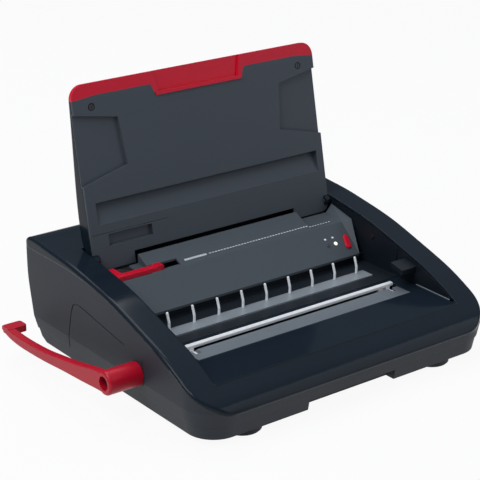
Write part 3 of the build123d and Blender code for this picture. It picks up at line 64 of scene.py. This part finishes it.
# Pale beads at the foot of the well's walls, a painted highlight line: places (y, z) in
# millimetres, radius in metres
HIGHLIGHT_BEAD_X = 171.2
HIGHLIGHT_BEAD_FRONT = (40.0, 61.9)
HIGHLIGHT_BEAD_REAR = (96.0, 62.8)
HIGHLIGHT_BEAD_RADIUS = 0.0007

# Sockets of the colour Mix node, which has several under one name
MIX_SHARE, MIX_FIRST, MIX_SECOND, MIX_RESULT = 0, 6, 7, 2
BEVEL_SAMPLES = 6
BEAD_SIDES = 16

# Studio: floor, lamps (name, place, width in metres, watts) and the dome by height
FLOOR_HALF = 30.0
FLOOR_DROP = 0.0002
FLOOR_TONES = ((0.6, 0.6, 0.6, 1), (0.64, 0.64, 0.64, 1))
FLOOR_WHITE_SHARE = 0.93
LAMPS = (("key", (-1.4, -0.15, 1.8), 1.3, 26.0), ("top", (0.3, 0.9, 2.0), 1.2, 15.0),
         ("fill", (1.6, -1.6, 1.1), 1.4, 8.0))
LAMP_COLOUR = (0.93, 0.97, 1.0)
LAMP_AIM = Vector((0.0, 0.0, 0.1))
DOME = ((0.0, (0.1, 0.115, 0.135, 1)), (0.42, (0.125, 0.14, 0.165, 1)),
        (0.85, (0.56, 0.59, 0.64, 1)))

# Camera, fitted to the photograph: metres, and millimetres for its lens and sensor
EYE = Vector((-1.0129, -1.3231, 0.7801))
AIM = Vector((0.0376, 0.0568, 0.1123))
LENS = 119.13
SENSOR_WIDTH = 36.0


def spot(x, y, z):
    """A place in the case frame (mm) as a point in the row frame (m)."""
    return (Vector((x, y, z)) + SHIFT) * MM


def on_slope(foot, angle, x, along, out=0.0):
    """A place on a slope that climbs to the rear, a little way out of it."""
    up = Vector((0.0, math.cos(angle), math.sin(angle)))
    away = Vector((0.0, -math.sin(angle), math.cos(angle)))
    return (foot + Vector((x, 0, 0)) + up * along + away * out + SHIFT) * MM


class Link:
    """A socket in a material that can be written in sums."""

    def __init__(self, finish, socket):
        self.finish = finish
        self.socket = socket

    def maths(self, operation, other, swapped=False):
        first, second = (other, self) if swapped else (self, other)
        return self.finish.node("ShaderNodeMath", {"operation": operation}, {0: first, 1: second})

    def __add__(self, other):
        return self.maths("ADD", other)

    def __radd__(self, other):
        return self.maths("ADD", other, True)

    def __sub__(self, other):
        return self.maths("SUBTRACT", other)

    def __rsub__(self, other):
        return self.maths("SUBTRACT", other, True)

    def __mul__(self, other):
        return self.maths("MULTIPLY", other)

    def __rmul__(self, other):
        return self.maths("MULTIPLY", other, True)

    def also(self, output):
        """Another output of the same node."""
        return Link(self.finish, self.socket.node.outputs[output])

    def above(self, level, soft):
        """0 below a level, 1 above it, with a soft step (sockets: value, from, to)."""
        return self.finish.node("ShaderNodeMapRange", {"interpolation_type": "SMOOTHSTEP"},
                                {0: self, 1: level - soft, 2: level + soft, 3: 0.0, 4: 1.0})


class Nodes:
    """A node tree, filled through one method."""

    def __init__(self, tree):
        self.tree = tree

    def node(self, kind, settings=None, values=None, output=0):
        """Any node: its settings first, then its sockets' values or links."""
        made = self.tree.nodes.new(kind)
        for key, value in (settings or {}).items():
            if key == "stops":
                ramp = made.color_ramp
                while len(ramp.elements) < len(value):
                    ramp.elements.new(0.5)
                for element, (place, colour) in zip(ramp.elements, value):
                    element.position = place
                    element.color = colour
            else:
                setattr(made, key, value)
        for key, value in (values or {}).items():
            if isinstance(value, Link):
                self.tree.links.new(value.socket, made.inputs[key])
            else:
                made.inputs[key].default_value = value
        return Link(self, made.outputs[output])


class Finish(Nodes):
    """One material, with its shader and the nodes before it."""

    def __init__(self, name, **constants):
        self.material = bpy.data.materials.new(name)
        self.material.use_nodes = True
        super().__init__(self.material.node_tree)
        self.tree.nodes.clear()
        self.shader = self.tree.nodes.new("ShaderNodeBsdfPrincipled")
        output = self.tree.nodes.new("ShaderNodeOutputMaterial")
        self.tree.links.new(self.shader.outputs[0], output.inputs[0])
        for key, value in constants.items():
            self.shader.inputs[key.replace("_", " ")].default_value = value

    def place(self, stretch=(1, 1, 1)):
        """Object coordinates, stretched along the axes."""
        raw = self.node("ShaderNodeTexCoord", output="Object")
        if stretch == (1, 1, 1):
            return raw
        return self.node("ShaderNodeMapping", None, {"Vector": raw, "Scale": stretch})

    def noise(self, place, scale, detail=2.0, rough=0.5, warp=0.0):
        """Cloudy texture from 0 to 1."""
        return self.node("ShaderNodeTexNoise", None,
                         {"Vector": place, "Scale": scale, "Detail": detail, "Roughness": rough,
                          "Distortion": warp})

    def cells(self, place, scale):
        """Distance to the nearest of many scattered points."""
        return self.node("ShaderNodeTexVoronoi", {"feature": "F1"},
                         {"Vector": place, "Scale": scale}, "Distance")

    def mix(self, first, second, share):
        """Blend of two colours."""
        return self.node("ShaderNodeMix", {"data_type": "RGBA"},
                         {MIX_SHARE: share, MIX_FIRST: first, MIX_SECOND: second}, MIX_RESULT)

    def soft_normal(self, radius):
        """Normal that rounds the edges off."""
        return self.node("ShaderNodeBevel", {"samples": BEVEL_SAMPLES}, {"Radius": radius})

    def edges(self, radius, level=0.06, soft=0.05):
        """1 on edges and 0 on flat faces; a low level takes in blunt edges too."""
        flat = self.node("ShaderNodeNewGeometry", output="Normal")
        same = self.node("ShaderNodeVectorMath", {"operation": "DOT_PRODUCT"},
                         {0: self.soft_normal(radius), 1: flat}, "Value")
        return (1.0 - same).above(level, soft)

    def bump(self, height, distance, strength, normal=None):
        """Fine relief as a normal, on top of another normal if there is one."""
        values = {"Height": height, "Distance": distance, "Strength": strength}
        if normal is not None:
            values["Normal"] = normal
        return self.node("ShaderNodeBump", None, values)

    def feed(self, **links):
        """Join links to the shader's sockets."""
        for key, link in links.items():
            self.tree.links.new(link.socket, self.shader.inputs[key.replace("_", " ")])
        return self.material


def shade(colour, factor):
    """A colour made lighter or darker."""
    return tuple(min(1.0, c * factor) for c in colour[:3]) + (1.0,)


def srgb(red, green, blue):
    """Linear colour from 0-255 display values."""
    linear = []
    for value in (red / 255, green / 255, blue / 255):
        low, high = value / 12.92, ((value + 0.055) / 1.055) ** 2.4
        linear.append(low if value <= 0.04045 else high)
    return (*linear, 1.0)


def moulded(name, colour, rough, grain=0.00006, edge_wear_and_highlight=1.5, level=0.06):
    """Matt moulding: spark-eroded grain, faint clouds and lighter edges, which are wear and,
    where a low level takes in blunt creases, a painted highlight.
    """
    f = Finish(name, Specular_IOR_Level=0.3)
    place = f.place()
    cloud = f.noise(place, scale=9.0, detail=4.0, rough=0.6)
    speck = f.noise(place, scale=420.0, detail=2.0)
    pits = f.cells(place, scale=1250.0)
    fine = f.noise(place, scale=2600.0, detail=1.0)
    edge = f.edges(radius=0.0007, level=level, soft=level * 0.8)
    tone = f.mix(shade(colour, 0.9), shade(colour, 1.12), cloud * 0.6 + speck * 0.4)
    # Lighter edge colour: wear on sharp edges, and a painted highlight on blunt creases when the
    # level is low.
    tone = f.mix(tone, shade(colour, edge_wear_and_highlight), edge * 0.55)
    dull = (cloud - 0.5) * 0.16 + (speck - 0.5) * 0.1 + rough - edge * 0.12
    rounded = f.soft_normal(0.0005)
    normal = f.bump(pits * 0.6 + fine * 0.4, distance=grain, strength=0.7, normal=rounded)
    return f.feed(Base_Color=tone, Roughness=dull, Normal=normal)


def piano(name, colour):
    """Glossy shell: slight orange peel, smudges, fine dust and hairline scratches."""
    f = Finish(name, Specular_IOR_Level=0.14)
    place = f.place()
    cloud = f.noise(place, scale=6.0, detail=3.0, rough=0.5)
    smudge = f.noise(place, scale=22.0, detail=5.0, rough=0.65, warp=0.6)
    smudge = smudge.above(level=0.62, soft=0.1)
    dust = f.cells(place, scale=260.0)
    dust = 1.0 - dust.above(level=0.07, soft=0.03)
    hair = f.noise(f.place((60, 900, 60)), scale=1.0, detail=2.0, rough=0.5, warp=0.4)
    hair = hair.above(level=0.7, soft=0.02)
    peel = f.noise(place, scale=95.0, detail=2.0)
    tone = f.mix(shade(colour, 0.88), shade(colour, 1.15), cloud)
    tone = f.mix(tone, shade(colour, 2.4), dust * 0.12)
    dull = 0.1 + smudge * 0.05 + dust * 0.12 + hair * 0.04 + cloud * 0.03
    rounded = f.soft_normal(0.0025)
    normal = f.bump(peel + hair * 0.03, distance=0.00003, strength=0.35, normal=rounded)
    return f.feed(Base_Color=tone, Roughness=dull, Normal=normal)


def satin(name, colour, rough=0.34, glow=1.25):
    """Satin plastic with faint flow marks and smoother edges."""
    f = Finish(name, Specular_IOR_Level=0.3)
    place = f.place()
    cloud = f.noise(place, scale=16.0, detail=4.0, rough=0.55, warp=0.3)
    flow = f.noise(f.place((30, 120, 60)), scale=1.0, detail=3.0, rough=0.6, warp=1.2)
    grain = f.noise(place, scale=1700.0, detail=1.0)
    rub = f.noise(place, scale=70.0, detail=4.0, rough=0.7).above(level=0.64, soft=0.06)
    edge = f.edges(radius=0.0006)
    tone = f.mix(shade(colour, 0.86), shade(colour, 1.1), cloud * 0.6 + flow * 0.4)
    tone = f.mix(tone, shade(colour, glow), edge * 0.5)
    dull = rough + (cloud - 0.5) * 0.1 + rub * 0.08 + grain * 0.03 - edge * 0.08
    rounded = f.soft_normal(0.0006)
    normal = f.bump(grain * 0.5 + flow * 0.5, distance=0.00003, strength=0.4, normal=rounded)
    return f.feed(Base_Color=tone, Roughness=dull, Normal=normal)


def brushed(name, colour, rough=0.3, along="X", metallic=1.0, tarnish=0.15):
    """Metal brushed along one axis, with a few deeper scratches and stains."""
    f = Finish(name, Metallic=metallic)
    stretch = {"X": (18, 1500, 1500), "Y": (1500, 18, 1500), "Z": (1500, 1500, 18)}[along]
    lines = f.noise(f.place(stretch), scale=1.0, detail=3.0, rough=0.6)
    place = f.place()
    cloud = f.noise(place, scale=30.0, detail=4.0, rough=0.6)
    stain = f.noise(place, scale=11.0, detail=5.0, rough=0.7, warp=0.8)
    stain = stain.above(level=0.6, soft=0.12)
    deep = f.noise(f.place(tuple(v * 0.4 for v in stretch)), scale=1.0, detail=1.0)
    deep = deep.above(level=0.72, soft=0.03)
    edge = f.edges(radius=0.0004)
    tone = f.mix(shade(colour, 0.8), shade(colour, 1.08), lines * 0.6 + cloud * 0.4)
    tone = f.mix(tone, shade(colour, 0.55), stain * tarnish)
    tone = f.mix(tone, shade(colour, 1.3), edge * 0.4)
    dull = rough + (lines - 0.5) * 0.18 + stain * 0.1 + deep * 0.06
    rounded = f.soft_normal(0.0003)
    normal = f.bump(lines * 0.7 - deep * 0.3, distance=0.00002, strength=0.35, normal=rounded)
    return f.feed(Base_Color=tone, Roughness=dull, Normal=normal)


def rubbery(name, colour):
    """Soft rubber with moulding texture and dusty patches."""
    f = Finish(name)
    place = f.place()
    cloud = f.noise(place, scale=40.0, detail=5.0, rough=0.65)
    pores = f.cells(place, scale=900.0)
    dusty = f.noise(place, scale=18.0, detail=4.0, rough=0.6).above(level=0.58, soft=0.12)
    tone = f.mix(shade(colour, 0.85), shade(colour, 1.2), cloud)
    tone = f.mix(tone, shade(colour, 2.6), dusty * 0.25)
    dull = 0.72 + dusty * 0.15 + (cloud - 0.5) * 0.1
    rounded = f.soft_normal(0.0006)
    normal = f.bump(pores + cloud * 0.3, distance=0.00008, strength=0.5, normal=rounded)
    return f.feed(Base_Color=tone, Roughness=dull, Normal=normal)


def board_green(name, colour):
    """Circuit board: solder mask over a grid of tracks and pads."""
    f = Finish(name)
    place = f.place()
    tracks = f.node("ShaderNodeTexBrick", None,
                    {"Vector": place, "Scale": 260.0, "Mortar Size": 0.03, "Color1": (0, 0, 0, 1),
                     "Color2": (0.3, 0.3, 0.3, 1), "Mortar": (1, 1, 1, 1)}, "Fac")
    pads = 1.0 - f.cells(place, scale=210.0).above(level=0.2, soft=0.04)
    cloud = f.noise(place, scale=60.0, detail=3.0)
    tone = f.mix(shade(colour, 0.8), shade(colour, 1.3), cloud)
    tone = f.mix(tone, shade(colour, 1.9), tracks * 0.5)
    tone = f.mix(tone, (0.7, 0.7, 0.66, 1.0), pads * 0.7)
    dull = 0.35 - pads * 0.1 + cloud * 0.1
    normal = f.bump(tracks + pads, distance=0.00006, strength=0.5)
    return f.feed(Base_Color=tone, Roughness=dull, Normal=normal)


def lens(name, colour, glow):
    """Small lamp lens: tinted, with an inner faceted glow."""
    f = Finish(name, Emission_Strength=1.0, Coat_Weight=0.6, Coat_Roughness=0.05)
    place = f.place()
    facets = f.cells(place, scale=900.0)
    cloud = f.noise(place, scale=240.0, detail=2.0)
    tone = f.mix(shade(colour, 0.7), shade(colour, 1.2), facets)
    light = f.mix((0, 0, 0, 1), glow, 0.55 + facets * 0.4 + cloud * 0.05)
    dull = 0.12 + facets * 0.1
    normal = f.bump(facets, distance=0.00005, strength=0.3)
    return f.feed(Base_Color=tone, Roughness=dull, Normal=normal, Emission_Color=light)


case_matt = moulded("matt_case_moulding", srgb(43, 47, 54), rough=0.56)
deck_matt = moulded("dark_deck_moulding", srgb(19, 26, 34), rough=0.42)
# The hood's very low edge level takes in the blunt crease of its upper slope, so the lighter edge
# colour there paints a highlight line along that crease.
hood_matt = moulded("hood_moulding", srgb(73, 80, 86),
                    rough=0.54, grain=0.00006, edge_wear_and_highlight=1.45, level=0.008)
liner_matt = moulded("lid_liner_moulding", srgb(68, 74, 82), rough=0.55)
drawer_matt = moulded("drawer_moulding", srgb(46, 50, 56), rough=0.58)
black_matt = moulded("black_fitting_moulding", srgb(26, 26, 28), rough=0.45)
natural_matt = moulded("natural_nylon", srgb(214, 208, 190),
                       rough=0.42, grain=0.00003, edge_wear_and_highlight=1.1)
gloss_shell = piano("gloss_shell", srgb(23, 32, 41))
red_satin = satin("red_satin", srgb(210, 12, 46), rough=0.36)
handle_red = satin("handle_red_satin", srgb(186, 8, 38), rough=0.36)
bright_strip = brushed("bright_strip_metal", srgb(176, 183, 190),
                       rough=0.36, along="X", metallic=0.6)
# Closing bar and wire pins: a near-white base with little metallic, so the bright metal's shine
# is a painted highlight in the base colour.
bar_painted_highlight = brushed("closing_bar_with_painted_highlight", srgb(250, 252, 255),
                    rough=0.3, along="X", metallic=0.12, tarnish=0.03)
plate_metal = brushed("closer_plate_metal", srgb(122, 129, 137),
                      rough=0.44, along="X", metallic=0.5, tarnish=0.2)
pin_painted_highlight = brushed("wire_pin_with_painted_highlight", srgb(250, 252, 255),
                    rough=0.3, along="Z", metallic=0.1, tarnish=0.03)
spring_steel = brushed("spring_steel", srgb(170, 172, 176), rough=0.3, along="Y")
steel_x = brushed("steel_brushed_across", srgb(168, 170, 174), rough=0.34)
steel_y = brushed("steel_brushed_lengthways", srgb(160, 162, 166), rough=0.36, along="Y")
screw_steel = brushed("dark_screw_steel", srgb(70, 72, 76), rough=0.3, along="Z")
brass_metal = brushed("brass_turned", srgb(196, 160, 92),
                      rough=0.28, along="X", metallic=1.0, tarnish=0.3)
foot_rubber = rubbery("foot_rubber", srgb(34, 36, 39))
board_finish = board_green("circuit_board", srgb(20, 78, 42))
lens_dark = lens("lens_unlit", srgb(34, 30, 34), (0.01, 0.008, 0.01, 1.0))
lens_lit = lens("lens_lit", srgb(236, 238, 210), (0.9, 0.9, 0.72, 1.0))
print_ink = satin("pale_print", srgb(244, 248, 252), rough=0.5)
# Mid-grey satin for the beads at the foot of the well's walls: a painted highlight line where
# each wall meets the panel.
wall_rim = satin("wall_rim_satin", srgb(118, 126, 136), rough=0.28)

FINISHES = {
    case_matt: ("base_tray",),
    gloss_shell: ("top_bezel", "lid_shell"),
    deck_matt: ("work_deck",),
    hood_matt: ("punch_hood",),
    liner_matt: ("lid_liner",),
    drawer_matt: ("chip_drawer",),
    black_matt: ("mains_inlet", "switch_housing", "power_rocker", "button_switch"),
    natural_matt: ("rack_guides", "idler_gear", "handle_pinions", "handle_bushes",
                   "drawer_runners", "board_clips"),
    red_satin: ("lid_trim", "edge_guide", "punch_button"),
    handle_red: ("closing_handle",),
    bright_strip: ("pin_strip",),
    bar_painted_highlight: ("closer_bar",),
    plate_metal: ("closer_plate",),
    pin_painted_highlight: ("wire_pins",),
    spring_steel: ("return_springs", "button_spring"),
    steel_x: ("stripper_plate", "die_plate", "throat_floor", "punch_bar", "camshaft",
              "handle_shaft", "hinge_pins", "drive_motor", "idler_stud"),
    steel_y: ("left_side_plate", "right_side_plate", "punch_pins", "lift_cams", "cam_gear"),
    screw_steel: ("case_screws", "lid_screws", "hub_screw"),
    brass_metal: ("cam_bushes", "motor_pinion"),
    foot_rubber: ("rubber_feet",),
    board_finish: ("control_board", "lamp_board"),
    lens_dark: ("power_lamp",),
    lens_lit: ("ready_lamp",),
}


def dress_nodes():
    """Give every carried-over node its finish."""
    for finish, names in FINISHES.items():
        for name in names:
            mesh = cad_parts[name].data
            mesh.materials.clear()
            mesh.materials.append(finish)


def node_group(name, wanted):
    """Empty Geometry Nodes tree with named inputs, and its start and end nodes."""
    tree = bpy.data.node_groups.new(name, "GeometryNodeTree")
    for label, kind in wanted:
        tree.interface.new_socket(label, in_out="INPUT", socket_type="NodeSocket" + kind)
    tree.interface.new_socket("Geometry", in_out="OUTPUT", socket_type="NodeSocketGeometry")
    return tree, tree.nodes.new("NodeGroupInput"), tree.nodes.new("NodeGroupOutput")


def close_tree(tree, made, finish, result):
    """Make instances real, give them their finish and join them to the output."""
    real = tree.nodes.new("GeometryNodeRealizeInstances")
    paint = tree.nodes.new("GeometryNodeSetMaterial")
    paint.inputs["Material"].default_value = finish
    tree.links.new(made, real.inputs[0])
    tree.links.new(real.outputs[0], paint.inputs["Geometry"])
    tree.links.new(paint.outputs[0], result.inputs[0])
    return tree


def row_tree(name, finish):
    """Small blocks in an even row, turned about X."""
    tree, given, result = node_group(name, (("Count", "Int"), ("Start", "Vector"),
                                            ("Step", "Vector"), ("Size", "Vector"),
                                            ("Turn", "Vector")))
    line = tree.nodes.new("GeometryNodeMeshLine")
    block = tree.nodes.new("GeometryNodeMeshCube")
    copies = tree.nodes.new("GeometryNodeInstanceOnPoints")
    for start, end in ((given.outputs["Count"], line.inputs["Count"]),
                       (given.outputs["Start"], line.inputs["Start Location"]),
                       (given.outputs["Step"], line.inputs["Offset"]),
                       (given.outputs["Size"], block.inputs["Size"]),
                       (given.outputs["Turn"], copies.inputs["Rotation"]),
                       (line.outputs["Mesh"], copies.inputs["Points"]),
                       (block.outputs["Mesh"], copies.inputs["Instance"])):
        tree.links.new(start, end)
    return close_tree(tree, copies.outputs["Instances"], finish, result)


def tube_tree(name, finish):
    """Round bead between two places."""
    tree, given, result = node_group(name, (("Start", "Vector"), ("End", "Vector"),
                                            ("Radius", "Float")))
    line = tree.nodes.new("GeometryNodeCurvePrimitiveLine")
    ring = tree.nodes.new("GeometryNodeCurvePrimitiveCircle")
    ring.inputs["Resolution"].default_value = BEAD_SIDES
    skin = tree.nodes.new("GeometryNodeCurveToMesh")
    skin.inputs["Fill Caps"].default_value = True
    for start, end in ((given.outputs["Start"], line.inputs["Start"]),
                       (given.outputs["End"], line.inputs["End"]),
                       (given.outputs["Radius"], ring.inputs["Radius"]),
                       (line.outputs["Curve"], skin.inputs["Curve"]),
                       (ring.outputs["Curve"], skin.inputs["Profile Curve"])):
        tree.links.new(start, end)
    return close_tree(tree, skin.outputs["Mesh"], finish, result)


def grown(name, tree, body, **sizes):
    """Run a tree on an empty mesh and keep the result as a plain mesh."""
    holder = bpy.data.objects.new(name, bpy.data.meshes.new(name + "_seed"))
    bpy.context.scene.collection.objects.link(holder)
    modifier = holder.modifiers.new("grow", "NODES")
    modifier.node_group = tree
    for item in tree.interface.items_tree:
        if item.in_out == "INPUT":
            modifier[item.identifier] = sizes[item.name]
    graph = bpy.context.evaluated_depsgraph_get()
    mesh = bpy.data.meshes.new_from_object(holder.evaluated_get(graph))
    holder.modifiers.remove(modifier)
    holder.data = mesh
    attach(holder, body)
    return holder


def hood_marks():
    """Plain marks on the hood: three rows on its upper slope and two over its lamps."""
    tree = row_tree("mark_row", print_ink)
    for name, angle, x, count, pitch, size in MARK_ROWS:
        grown(name, tree, "case", Count=count,
              Start=on_slope(CREASE, angle, x, MARK_ALONG, MARK_OUT),
              Step=(pitch * MM, 0, 0), Size=size, Turn=(angle, 0.0, 0.0))
    grown("lamp_marks", tree, "case", Count=len(LAMP_XS),
          Start=on_slope(FACE_FOOT, FACE_ANGLE, LAMP_XS[0], LAMP_MARK_ALONG, MARK_OUT),
          Step=((LAMP_XS[1] - LAMP_XS[0]) * MM, 0, 0), Size=LAMP_MARK_SIZE,
          Turn=(FACE_ANGLE, 0.0, 0.0))


def small_parts():
    """Grip ridges on the edge guide, and pale beads at the foot of the well's walls that paint a
    highlight line there.
    """
    ridges = row_tree("ridge_row", red_satin)
    grown("guide_ridges", ridges, "guide", Count=RIDGE_COUNT, Start=spot(*RIDGE_START),
          Step=(RIDGE_PITCH * MM, 0, 0), Size=RIDGE_SIZE, Turn=(0.0, 0.0, 0.0))
    # Each bead paints a highlight line along the foot of one wall.
    bead = tube_tree("bead", wall_rim)
    for side in (-1, 1):
        grown("wall_rim_" + ("left" if side < 0 else "right"), bead, "case",
              Start=spot(side * HIGHLIGHT_BEAD_X, *HIGHLIGHT_BEAD_FRONT), End=spot(side * HIGHLIGHT_BEAD_X, *HIGHLIGHT_BEAD_REAR),
              Radius=HIGHLIGHT_BEAD_RADIUS)


def studio():
    """Floor, lamps, dome and camera."""
    lay_floor()
    raise_dome()
    hang_lamps()
    stand_camera()
    bpy.context.scene.view_settings.view_transform = "Standard"


def lay_floor():
    """Pale floor that keeps the object's shadow and looks white to the camera."""
    mesh = bpy.data.meshes.new("floor")
    corners = [(x * FLOOR_HALF, y * FLOOR_HALF, -FLOOR_DROP)
               for x, y in ((-1, -1), (1, -1), (1, 1), (-1, 1))]
    mesh.from_pydata(corners, [], [(0, 1, 2, 3)])
    floor = bpy.data.objects.new("floor", mesh)
    bpy.context.scene.collection.objects.link(floor)
    f = Finish("pale_floor", Roughness=0.9)
    cloud = f.noise(f.place(), scale=3.0, detail=2.0)
    f.feed(Base_Color=f.mix(*FLOOR_TONES, cloud))
    ray = f.node("ShaderNodeLightPath", output="Is Camera Ray")
    seen = ray + ray.also("Is Glossy Ray") + ray.also("Is Transmission Ray")
    glow = f.node("ShaderNodeEmission", None, {"Strength": 1.0})
    lit = f.node("ShaderNodeMixShader", None,
                 {0: seen * FLOOR_WHITE_SHARE, 1: Link(f, f.shader.outputs[0]), 2: glow})
    out = next(n for n in f.tree.nodes if n.type == "OUTPUT_MATERIAL")
    f.tree.links.new(lit.socket, out.inputs[0])
    mesh.materials.append(f.material)


def raise_dome():
    """Grey sky, darker at the horizon than above."""
    world = bpy.data.worlds.new("dome")
    bpy.context.scene.world = world
    world.use_nodes = True
    w = Nodes(world.node_tree)
    height = w.node("ShaderNodeSeparateXYZ", None,
                    {0: w.node("ShaderNodeTexCoord", output="Generated")}, 2)
    sky = w.node("ShaderNodeValToRGB", {"stops": DOME}, {0: height})
    back = next(n for n in w.tree.nodes if n.type == "BACKGROUND")
    w.tree.links.new(sky.socket, back.inputs[0])


def hang_lamps():
    """Square lamps round the object, all aimed at its middle."""
    for name, place, size, power in LAMPS:
        data = bpy.data.lights.new(name, "AREA")
        data.shape = "SQUARE"
        data.size = size
        data.energy = power
        data.color = LAMP_COLOUR
        lamp = bpy.data.objects.new(name, data)
        lamp.location = place
        lamp.rotation_euler = (LAMP_AIM - Vector(place)).to_track_quat("-Z", "Y").to_euler()
        bpy.context.scene.collection.objects.link(lamp)


def stand_camera():
    """Camera where the photograph was taken."""
    data = bpy.data.cameras.new("camera")
    data.lens = LENS
    data.sensor_width = SENSOR_WIDTH
    camera = bpy.data.objects.new("camera", data)
    camera.location = EYE
    camera.rotation_euler = (AIM - EYE).to_track_quat("-Z", "Y").to_euler()
    bpy.context.scene.collection.objects.link(camera)
    bpy.context.scene.camera = camera


dress_nodes()
hood_marks()
small_parts()
studio()
bpy.context.view_layer.update()
